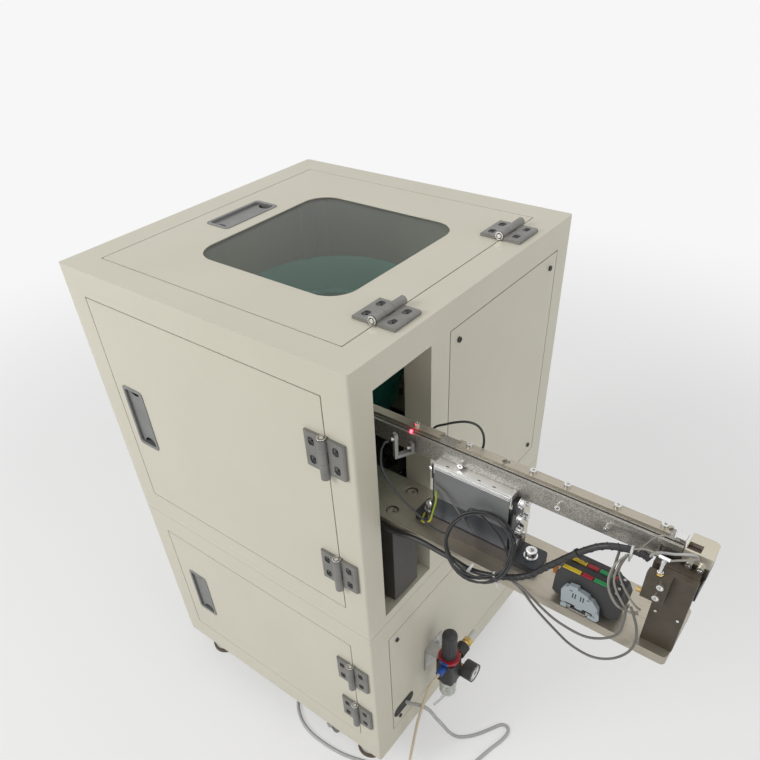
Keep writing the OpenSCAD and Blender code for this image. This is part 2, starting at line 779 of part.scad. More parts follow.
post_x = 688;
post_w = 40;
post_t = 10;
post_y = line_y - 34;
head_x = track_end + 2;
head_w = 32;
head_y = line_y - 8;
head_d = 32;
head_z = track_z + 2;
head_t = 34;
bridge_z = rail_z - 24;
pocket_w = 16;
pocket_d = 13;
pocket_y = line_y - 5;
channel_h = 14;
roof_t = 6;

module end_post() color([0.3, 0.26, 0.2]) difference() {
    translate([post_x, post_y, beam_z]) cube([post_w, post_t, post_h]);
    for (p = [[7, 58], [34, 58]]) translate([post_x + p[0], post_y - eps, beam_z + p[1]])
        rotate([-90, 0, 0]) cylinder(r = 2.2, h = post_t + 2 * eps);
}

// Bridge behind the post, and the head with the window that each screw is taken from
module end_block() {
    color([0.2, 0.18, 0.16])
        translate([post_x - 14, post_y + post_t + 0.2, bridge_z]) {
            cube([post_w + 16, 48, head_z - head_t - bridge_z]);
            cube([post_w + 12, head_y - post_y - post_t - 1, beam_z + post_h - bridge_z]);
        }
    color("wheat") difference() {
        union() {
            translate([head_x, head_y, head_z - head_t]) cube([head_w, head_d - 8, head_t]);
            translate([head_x, head_y, head_z - head_t]) cube([head_w - 8, head_d, head_t]);
            translate([head_x + head_w - 8, head_y + head_d - 8, head_z - head_t])
                cylinder(r = 8, h = head_t);
        }
        translate([head_x + 1, pocket_y, head_z - roof_t - channel_h])
            cube([pocket_w, pocket_d + shuttle_travel + 1, channel_h]);
        translate([head_x + 1, pocket_y, head_z - roof_t - eps]) cube([pocket_w, pocket_d, big]);
        translate([head_x - eps, line_y - slot_gap / 2, head_z - roof_t - channel_h])
            cube([2, slot_gap, big]);
    }
    color("silver") for (x = [10, 23])
        translate([head_x + x, head_y, head_z - 18]) rotate([90, 0, 0]) socket_screw(4.2, 5);
}

module shuttle() color([0.22, 0.2, 0.22]) difference() {
    translate([head_x + 1 + seat, pocket_y + seat, head_z - roof_t - channel_h + seat])
        cube([pocket_w - 2 * seat, pocket_d - 2 * seat, channel_h - 2 * seat]);
    translate([head_x, line_y - slot_gap / 2, head_z - roof_t - 9]) cube([9, slot_gap, 20]);
}

// Actuator bolted in front of the post, with its air fittings
module shuttle_cylinder() {
    x = post_x - 14;
    y = post_y - 10;
    z = beam_z + post_h;
    color([0.4, 0.35, 0.28]) translate([x, y, z - 42]) cube([28, 10, 42]);
    color("silver") for (s = [12, 31]) translate([x + 20 - s * 0.06, y, z - s])
        rotate([90, 0, 0]) socket_screw(4.2, 4);
    color("gold") {
        translate([x + 13, y + 5, z]) cylinder(r = 4, h = 4, $fn = 6);
        translate([x, y + 5, z - 38]) rotate([0, -90, 0]) cylinder(r = 3, h = 6);
    }
    color("whitesmoke") translate([x + 13, y + 5, z + 4]) cylinder(r = 2.5, h = 14);
}

// Sensor, terminals ---------------------------------------------------------------------------

sensor_x = beam_x + 132;
sensor_turn = 30;
sensor_w = 8;
sensor_t = 5;
sensor_reach = 30;
sensor_leg = 42;
sensor_tip = 18;

// Fork of the light barrier, held against the near rail; its plane is turned away from the track
module sensor_bracket()
    translate([sensor_x, near_y - seat - sensor_w * sin(sensor_turn), rail_z + 1])
    rotate([0, 0, -sensor_turn]) {
    color("silver") translate([-sensor_w, -sensor_reach, 0]) {
        cube([sensor_w, sensor_reach, sensor_t]);
        cube([sensor_w, sensor_t, sensor_leg]);
        translate([0, sensor_reach - sensor_t, 0]) cube([sensor_w, sensor_t, sensor_tip]);
    }
    color("silver") translate([-sensor_w / 2, -sensor_reach - 4, sensor_leg - 8])
        rotate([-90, 0, 0]) cylinder(r = 3, h = 10);
    color("silver") translate([-sensor_w / 2, -10, 10]) rotate([-90, 0, 0]) cylinder(r = 2.5, h = 8);
}

din_w = 35;
din_t = 7.5;
din_x = 607.5;
din_y0 = line_y - beam_w / 2 + 3;
clamp_t = 8;
terminal_t = 5.2;
terminal_n = 7;
terminal_h = 53;

module terminal_profile(grow) {
    polygon([[-24, 0], [-25, 31], [-3 - grow, terminal_h], [3 + grow, terminal_h], [26.5, 35],
        [28, 2], [20, 0]]);
}

module upright_slice(t) { rotate([90, 0, 0]) mirror([0, 0, 1]) linear_extrude(t) children(); }

module terminal_row() translate([din_x, din_y0, beam_z]) {
    color("silver") translate([-din_w / 2, 0, 0]) {
        cube([din_w, clamp_t + terminal_n * terminal_t + 6, 1.5]);
        for (x = [0, din_w - 7]) translate([x, 0, 0])
            cube([7, clamp_t + terminal_n * terminal_t + 6, din_t]);
    }
    color("gray") translate([0, 1, din_t]) upright_slice(clamp_t - 1) terminal_profile(3);
    for (i = [0:terminal_n - 1]) translate([0, clamp_t + i * terminal_t, din_t]) {
        color([0.12, 0.12, 0.12]) upright_slice(terminal_t - 0.2) terminal_profile(0);
        color(i < 3 ? "yellow" : i < 5 ? "red" : "green") for (x = [-2.5, 9])
            translate([x, 0.6, x < 0 ? terminal_h - 1 : terminal_h - 8]) cube([5, 4, 2.5]);
        color("orange") translate([-20, 0.6, 33]) cube([6, 4, 3]);
    }
}

// Air supply ----------------------------------------------------------------------------------

reg_h = 63;
ring_r = reg_r + 2.5;
ring_h = 8;
bonnet_r = 12;
bonnet_h = 16;
knob_h = 74;
knob_dome = 10;
bracket_t = 2;
bracket_w = 62;
bracket_z0 = reg_z - 9;
reg_top = reg_z + reg_h;
valve_r = 9;
sleeve_r = 14;
sleeve_l = 24;
sleeve_travel = 6;
bowl_cup_r = 18;
bowl_cup_l = 56;

module regulator_bracket() color("silver") difference() {
    union() {
        translate([half, reg_y - 15, bracket_z0])
            cube([bracket_t, bracket_w, reg_top + bracket_t - bracket_z0]);
        translate([half, reg_y - 15, reg_top]) cube([reg_x - half, 30, bracket_t]);
        translate([reg_x, reg_y, reg_top]) cylinder(r = reg_r, h = bracket_t);
    }
    translate([reg_x, reg_y, reg_top - eps]) cylinder(r = bonnet_r + seat, h = bracket_t + 2 * eps);
    for (z = [12, 50]) translate([half - eps, reg_y + 30, bracket_z0 + z]) rotate([0, 90, 0])
        cylinder(r = 2.7, h = bracket_t + 2 * eps);
}

// Body with its ring nut and bonnet, air outlet towards -Y and inlet towards +Y
module regulator_body() translate([reg_x, reg_y, 0]) {
    color([0.12, 0.12, 0.12]) {
        translate([0, 0, reg_z]) plate(2 * reg_r, 2 * reg_r, 6, reg_h);
        translate([0, 0, reg_top - eps]) cylinder(r = bonnet_r, h = eps + bracket_t + ring_h + bonnet_h);
        translate([0, 0, reg_z - 6]) cylinder(r = bowl_cup_r + 1, h = 6 + eps);
    }
    color("red") translate([0, 0, reg_top + bracket_t]) cylinder(r = ring_r, h = ring_h);
    color("blue") translate([0, -reg_r + eps, reg_top - 12]) rotate([90, 0, 0]) difference() {
        cylinder(r = 7.5, h = 18);
        translate([0, 0, 6]) cylinder(r = air_d / 2 + seat, h = 20);
    }
    color("gold") {
        translate([0, reg_r - eps, reg_top - 24]) rotate([-90, 0, 0]) cylinder(r = 10, h = 9, $fn = 6);
        translate([0, reg_r + 8, reg_top - 24]) rotate([-90, 0, 0]) cylinder(r = valve_r, h = 46);
        translate([0, reg_r + 46, reg_top - 24]) rotate([-90, 0, 0]) cylinder(r = 11, h = 10, $fn = 6);
    }
    color("lightgray") translate([0, reg_r + 56 - eps, reg_top - 24]) rotate([-90, 0, 0])
        cylinder(r = 7, h = 26);
    color("gray") for (z = [10, 50]) translate([half - reg_x + bracket_t, 30, bracket_z0 + z + 2])
        rotate([0, 90, 0]) socket_screw(4.5, 4);
}

// Clear cup with a round bottom and its drain spout
module regulator_bowl() color([0.8, 0.85, 0.85, 0.6]) translate([reg_x, reg_y, reg_z - 6 - bowl_cup_l]) {
    rotate_extrude() polygon(concat(
        [for (a = [0:15:90]) [bowl_cup_r * sin(a), bowl_cup_r * 0.8 * (1 - cos(a))]],
        [[bowl_cup_r, bowl_cup_l], [bowl_cup_r - 2, bowl_cup_l]],
        [for (a = [90:-15:0]) [(bowl_cup_r - 2) * sin(a), 2 + (bowl_cup_r * 0.8 - 2) * (1 - cos(a))]]));
    rotate_extrude() translate([bowl_cup_r - 1, bowl_cup_l - 12]) square([2, 12]);
    translate([0, 0, -4]) cylinder(r = 5, h = 6);
    translate([0, 0, -2]) rotate([108, 0, -18]) cylinder(r = 2.8, h = 40);
}

// Turns on the bonnet; ribbed below a round top
module regulator_knob() color([0.1, 0.1, 0.1])
    translate([reg_x, reg_y, reg_top + bracket_t + ring_h + seat]) difference() {
        rotate_extrude() polygon(concat([[0, 0], [knob_r, 0]],
            [for (a = [0:15:90]) [knob_r - knob_dome * (1 - cos(a)), knob_h - knob_dome * (1 - sin(a))]],
            [[0, knob_h]]));
        translate([0, 0, -eps]) cylinder(r = bonnet_r + run_gap, h = bonnet_h + seat + eps);
        for (a = [0:30:330]) rotate([0, 0, a]) translate([knob_r + 1, 0, 8])
            cylinder(r = 1.8, h = knob_h - knob_dome - 16);
    }

gauge_y = reg_y + reg_r + 7;
gauge_z = reg_z + 17;

// Gauge faces +X, on a short stem out of the regulator body
module pressure_gauge() translate([0, gauge_y, gauge_z]) {
    color([0.12, 0.12, 0.12]) translate([reg_x + 22, 0, 0]) rotate([0, 90, 0]) difference() {
        cylinder(r = gauge_r, h = 26);
        translate([0, 0, 24]) cylinder(r = gauge_r - 2, h = 3);
    }
    color("gold") translate([reg_x - 4, 0, 0]) rotate([0, 90, 0]) cylinder(r = 5, h = 27);
    color("gold") translate([reg_x, 0, 0]) rotate([90, 0, 0]) cylinder(r = 5, h = 7);
    color("white") translate([reg_x + 22 + 24 - eps, 0, 0]) rotate([0, 90, 0])
        cylinder(r = gauge_r - 2.5, h = eps + 0.6);
}

// Sliding sleeve that vents and shuts the air off
module valve_sleeve() color("lightgray")
    translate([reg_x, reg_y + reg_r + 14, reg_top - 24]) rotate([-90, 0, 0]) difference() {
        cylinder(r = sleeve_r, h = sleeve_l);
        translate([0, 0, -eps]) cylinder(r = valve_r + run_gap, h = sleeve_l + 2 * eps);
        for (z = [4:5:sleeve_l - 4]) translate([0, 0, z]) rotate_extrude()
            translate([sleeve_r, 0]) circle(1);
    }

// Cords ---------------------------------------------------------------------------------------

function unit(v) = v / norm(v);
function along(p, i, t) = let (n = len(p), a = p[max(i - 1, 0)], b = p[i], c = p[i + 1],
    d = p[min(i + 2, n - 1)])
    0.5 * (2 * b + (c - a) * t + (2 * a - 5 * b + 4 * c - d) * t * t
        + (3 * b - a - 3 * c + d) * t * t * t);
function smooth(p, k) = concat([for (i = [0:len(p) - 2], s = [0:k - 1]) along(p, i, s / k)],
    [p[len(p) - 1]]);
function across(t, n) = unit(n - (n * t) * t);

// A round cord swept along a smooth curve through the points
module cord(points, d, k = 2, sides = 8) {
    path = smooth(points, k);
    last = len(path) - 1;
    t = [for (i = [0:last]) unit(path[min(i + 1, last)] - path[max(i - 1, 0)])];
    first = across(t[0], abs(t[0][2]) > 0.9 ? [1, 0, 0] : [0, 0, 1]);
    n = [for (i = 0, v = first; i <= last; i = i + 1, v = across(t[min(i, last)], v)) v];
    rings = [for (i = [0:last], j = [0:sides - 1]) let (a = 360 * j / sides)
        path[i] + d / 2 * (cos(a) * n[i] + sin(a) * cross(t[i], n[i]))];
    faces = concat([[for (j = [0:sides - 1]) j]],
        [for (i = [0:last - 1], j = [0:sides - 1]) let (m = (j + 1) % sides)
            [i * sides + j, (i + 1) * sides + j, (i + 1) * sides + m]],
        [for (i = [0:last - 1], j = [0:sides - 1]) let (m = (j + 1) % sides)
            [i * sides + j, (i + 1) * sides + m, i * sides + m]],
        [[for (j = [sides - 1:-1:0]) last * sides + j]]);
    polyhedron(rings, faces);
}

// A neat coil: turns side by side in columns and rows
module neat_coil(r, d, cols, rows) {
    for (c = [0:cols - 1], k = [0:rows - 1]) rotate_extrude()
        translate([r + (c - (cols - 1) / 2) * d * 0.98, d / 2 + k * d * 0.98]) circle(d / 2);
}

mains_coil_r = 44;
mains_coil_at = [-20, -150];
mains_points = [[291, -207.5, 178], [304, -207.5, 178], [317, -204, 178.5], [329, -198, 178],
    [338, -192, 170], [346, -183, 150], [353, -172, 115], [361, -158, 75], [370, -146, 38],
    [382, -134, 13], [394, -123, 5.5], [410, -106, 4], [424, -86, 4], [438, -62, 4], [449, -45, 4],
    [462, -42, 4], [470, -54, 4], [468, -78, 4], [460, -105, 4], [452, -135, 4], [444, -170, 4],
    [430, -212, 4], [405, -250, 4], [370, -272, 4], [325, -282, 4], [288, -288, 4],
    [252, -298, 4], [216, -310, 4], [180, -317, 4], [142, -319, 4], [106, -317, 4],
    [72, -307, 4], [42, -288, 4], [21, -262, 4], [8, -236, 4], [-5, -215, 4], [-20, -206.4, 4]];
module mains_cable() color("lightgray") cord(mains_points, mains_d);
module mains_coil() color("lightgray") translate([mains_coil_at[0], mains_coil_at[1], 0])
    neat_coil(mains_coil_r, mains_d, 2, 3);

plug_at = [-103, -150, 0];
module mains_plug() color("lightgray") translate(plug_at) rotate([0, 0, 180]) {
    difference() {
        translate([0, -15, 0]) cube([42, 30, 26]);
        for (y = [-18, 18]) translate([12, y, 13]) cylinder(r = 6, h = 60, center = true);
    }
    for (y = [-9.5, 9.5]) translate([41, y, 13]) rotate([0, 90, 0]) cylinder(r = 2.4, h = 20);
    translate([-18, 0, 13]) rotate([0, 90, 0]) cylinder(r = 5.5, h = 19);
    translate([-30, 0, 4]) rotate([0, 66, 0]) cylinder(r = mains_d / 2, h = 16);
}

air_coil_r = 33;
air_coil_at = [404, -352];
air_exit_y = reg_y - reg_r - 12;
air_points = [[reg_x, air_exit_y, reg_top - 12], [reg_x, air_exit_y - 12, reg_top - 12],
    [reg_x - 2, air_exit_y - 24, reg_top - 17], [reg_x - 5, -188, 245], [343, -194, 222],
    [339, -200, 195], [336, -206, 165], [333, -213, 130], [332, -222, 90], [334, -236, 52],
    [338, -252, 26], [344, -272, 15], [351, -292, 7], [357, -312, 3], [361, -334, 3],
    [361.8, -350, 3]];
module air_tube() color("wheat") cord(air_points, air_d);
module air_coil() color("wheat") translate([air_coil_at[0], air_coil_at[1], 0])
    neat_coil(air_coil_r, air_d, 2, 4);

// Points given from the track's centre line, on top of the beam
function by_line(p) = [for (q = p) q + [0, line_y, beam_z]];

sensor_coil_at = [461, line_y - 50.5, beam_z + 44];
sensor_coil_r = 47;
module sensor_cable_coil() color([0.12, 0.12, 0.12]) translate(sensor_coil_at)
    rotate([60, 0, 10]) neat_coil(sensor_coil_r, 3.4, 2, 4);

bundle_points = by_line([[488, -59.5, 8.5], [502, -56.5, 12], [519, -47.5, 14], [534, -42.5, 24],
    [549, -39.5, 43], [564, -36.5, 62], [588, -32.5, 92], [614, -27.5, 116], [639, -22.5, 123],
    [660, -17.5, 121], [668.5, -17.5, 117.5]]);
loop_in_points = by_line([[666, -57.5, 70], [669, -61.5, 50], [667, -61.5, 20], [650, -61.5, -3],
    [626, -61.5, -16], [592, -61.5, -14], [566, -59.5, -6], [532, -53.5, 6], [506, -49.5, 6]]);
loop_out_points = by_line([[671, -55.5, 70], [684, -61.5, 50], [689, -61.5, 22],
    [684, -61.5, -6], [667, -61.5, -33], [643, -61.5, -48], [614, -61.5, -46], [590, -61.5, -33],
    [558, -59.5, -14], [530, -54.5, 4], [506, -50.5, 9]]);
drop_points = by_line([[634, -23.5, 116], [635, -33.5, 90], [636, -39.5, 68], [650, -45.5, 52],
    [664, -51.5, 56], [668, -56.5, 72]]);
arc_points = by_line([[326, 21.6, 128], [333, 28.5, 142], [350, 28.5, 154], [366, 28.5, 164],
    [383, 28.5, 172], [398, 28.5, 174], [408, 28.5, 168], [413, 27.5, 156], [411, 28.5, 138],
    [403, 21.6, 120]]);
earth_points = by_line([[372, -22.4, 78], [372.5, -26, 77.5], [376, -31.5, 68], [372, -33.5, 44],
    [368, -35.5, 26], [352, -31.5, 14], [346, -15.5, 15]]);
lead_points = by_line([[303.2, -43.4, 149], [300.5, -48.1, 148.4], [298, -53.5, 134],
    [304, -58.5, 108], [334, -60.5, 76], [372, -60.5, 54], [388, -60, 45], [401.9, -59.2, 43],
    [414.7, -56.9, 42.9]]);
head_points = by_line([[668, -17.5, 118], [668.8, -17.5, 125], [673.5, -18, 133],
    [682, -19.5, 139], [692, -20.5, 144],
    [704, -21.5, 152], [713, -17.5, 152], [716, -9.7, 141]]);
wires = [loop_in_points, loop_out_points, drop_points, arc_points, lead_points, head_points];
wire_d = 3.4;
tie_at = [0, 4, 7, 9];

module cable_tie(points, i) {
    d = unit(points[i + 1 < len(points) ? i + 1 : i] - points[max(i - 1, 0)]);
    translate(points[i]) rotate([0, acos(d[2]), atan2(d[1], d[0])]) difference() {
        cylinder(r = 6.2, h = 4, center = true);
        cylinder(r = 4.6, h = 5, center = true);
    }
}

// Bundle along the track, its loops and leads, and the ties round it
module wiring() {
    color([0.1, 0.1, 0.1]) cord(bundle_points, 9, 2, 10);
    color([0.2, 0.2, 0.2]) for (w = wires) cord(w, wire_d);
    color("yellowgreen") cord(earth_points, 3);
    color("white") for (i = tie_at) cable_tie(bundle_points, i);
}

// Parts ---------------------------------------------------------------------------------------

lower_cabinet();
deck_plate();
upper_cabinet();
right_upper_panel();
right_lower_panel();
left_and_rear_panels();
panel_screws();
cable_grommet();
levelling_feet();
caster_plates();
front_left_fork();
front_right_fork();
front_left_wheel();
front_right_wheel();
rear_left_wheel();
rear_right_wheel();
frame_hinge_leaves();
hinge_pins();
lid_panel();
lid_window();
lid_hinge_leaves();
lid_pull();
lid_paddle();
upper_door_panel();
upper_door_leaves();
upper_door_pull();
upper_door_paddle();
lower_door_panel();
lower_door_leaves();
lower_door_pull();
lower_door_paddle();
bowl_drive();
bowl();
spiral_track();
beam_riser();
support_beam();
linear_drive_base();
leaf_springs();
drive_top_block();
near_rail();
far_rail();
end_post();
end_block();
shuttle();
shuttle_cylinder();
sensor_bracket();
terminal_row();
regulator_bracket();
regulator_body();
regulator_bowl();
regulator_knob();
pressure_gauge();
valve_sleeve();
mains_cable();
mains_coil();
mains_plug();
air_tube();
air_coil();
sensor_cable_coil();
wiring();
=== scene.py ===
import json
import math

import bmesh
import bpy
from mathutils import Matrix, Vector


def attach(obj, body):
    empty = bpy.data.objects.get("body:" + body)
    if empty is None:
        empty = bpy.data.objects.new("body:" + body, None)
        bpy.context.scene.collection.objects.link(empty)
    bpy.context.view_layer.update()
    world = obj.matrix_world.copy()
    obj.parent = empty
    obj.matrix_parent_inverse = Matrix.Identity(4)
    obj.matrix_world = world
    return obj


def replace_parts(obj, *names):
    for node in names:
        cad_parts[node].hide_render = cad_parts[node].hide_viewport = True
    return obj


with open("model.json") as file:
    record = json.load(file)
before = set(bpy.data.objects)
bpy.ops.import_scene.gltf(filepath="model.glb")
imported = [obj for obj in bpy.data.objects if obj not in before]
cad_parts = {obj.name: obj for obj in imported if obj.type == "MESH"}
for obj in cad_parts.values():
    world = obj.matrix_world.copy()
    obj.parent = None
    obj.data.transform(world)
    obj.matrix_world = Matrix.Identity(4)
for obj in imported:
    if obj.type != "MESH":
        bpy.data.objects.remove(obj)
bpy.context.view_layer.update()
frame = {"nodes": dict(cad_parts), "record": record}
record = frame["record"]
bodyOfNode = {node: body for body, nodes in record["behaviour"]["bodies"].items() for node in nodes}
slotOfNode = {part["node"]: part["material_slot"] for part in record["subparts"]}
print("frame loaded:", len(bodyOfNode), "nodes")


def mm(*values):
    return tuple(value / 1000 for value in values)


# camera
view = {"place": mm(769.3, -817.1, 1462.6), "turn": (47.903, 2.366, 37.335), "lens": 32.57,
        "shift": (-0.0024, 0.1465)}


def addCamera():
    data = bpy.data.cameras.new("camera")
    data.lens = view["lens"]
    data.sensor_width = 36
    data.shift_x, data.shift_y = view["shift"]
    data.clip_start = 0.01
    data.clip_end = 60
    camera = bpy.data.objects.new("camera", data)
    camera.location = view["place"]
    camera.rotation_euler = [math.radians(angle) for angle in view["turn"]]
    bpy.context.scene.collection.objects.link(camera)
    bpy.context.scene.camera = camera


addCamera()
print("camera placed")


# shared shader effects
def newGroup(name, inputs, outputs):
    group = bpy.data.node_groups.new(name, "ShaderNodeTree")
    for label, kind, value in inputs:
        socket = group.interface.new_socket(name=label, in_out="INPUT", socket_type=kind)
        if value is not None:
            socket.default_value = value
    for label, kind in outputs:
        group.interface.new_socket(name=label, in_out="OUTPUT", socket_type=kind)
    nodes = group.nodes
    return group, nodes.new("NodeGroupInput"), nodes.new("NodeGroupOutput")


def addNode(tree, kind, values=None, links=None, **settings):
    node = tree.nodes.new(kind)
    for key, value in settings.items():
        setattr(node, key, value)
    for key, value in (values or {}).items():
        node.inputs[key].default_value = value
    for key, socket in (links or {}).items():
        tree.links.new(socket, node.inputs[key])
    return node


def makeFinishGroup():  # fine grain over slow blotches, for every painted, cast or moulded surface
    group, source, result = newGroup("surfaceFinish", [
        ("Vector", "NodeSocketVector", None), ("Main Color", "NodeSocketColor", (0.5, 0.5, 0.5, 1)),
        ("Second Color", "NodeSocketColor", (0.4, 0.4, 0.4, 1)), ("Grain Scale", "NodeSocketFloat", 900),
        ("Blotch Scale", "NodeSocketFloat", 9), ("Grain Amount", "NodeSocketFloat", 0.2),
        ("Rough Low", "NodeSocketFloat", 0.4), ("Rough High", "NodeSocketFloat", 0.5)],
        [("Color", "NodeSocketColor"), ("Roughness", "NodeSocketFloat"), ("Height", "NodeSocketFloat")])
    grain = addNode(group, "ShaderNodeTexNoise", {"Detail": 3, "Roughness": 0.6},
                    {"Vector": source.outputs["Vector"], "Scale": source.outputs["Grain Scale"]})
    blotch = addNode(group, "ShaderNodeTexNoise", {"Detail": 4, "Roughness": 0.55},
                     {"Vector": source.outputs["Vector"], "Scale": source.outputs["Blotch Scale"]})
    spread = addNode(group, "ShaderNodeMapRange", {"From Min": 0.32, "From Max": 0.68},
                     {"Value": blotch.outputs["Fac"]})
    speck = addNode(group, "ShaderNodeMapRange", {"From Min": 0.35, "From Max": 0.65},
                    {"Value": grain.outputs["Fac"]})
    blend = addNode(group, "ShaderNodeMix", links={0: source.outputs["Grain Amount"],
                    2: spread.outputs["Result"], 3: speck.outputs["Result"]}, data_type="FLOAT")
    colour = addNode(group, "ShaderNodeMix", links={0: blend.outputs[0],
                     6: source.outputs["Main Color"], 7: source.outputs["Second Color"]}, data_type="RGBA")
    rough = addNode(group, "ShaderNodeMapRange", links={"Value": blend.outputs[0],
                    "To Min": source.outputs["Rough Low"], "To Max": source.outputs["Rough High"]})
    group.links.new(colour.outputs[2], result.inputs["Color"])
    group.links.new(rough.outputs["Result"], result.inputs["Roughness"])
    group.links.new(grain.outputs["Fac"], result.inputs["Height"])
    return group


finishGroup = makeFinishGroup()

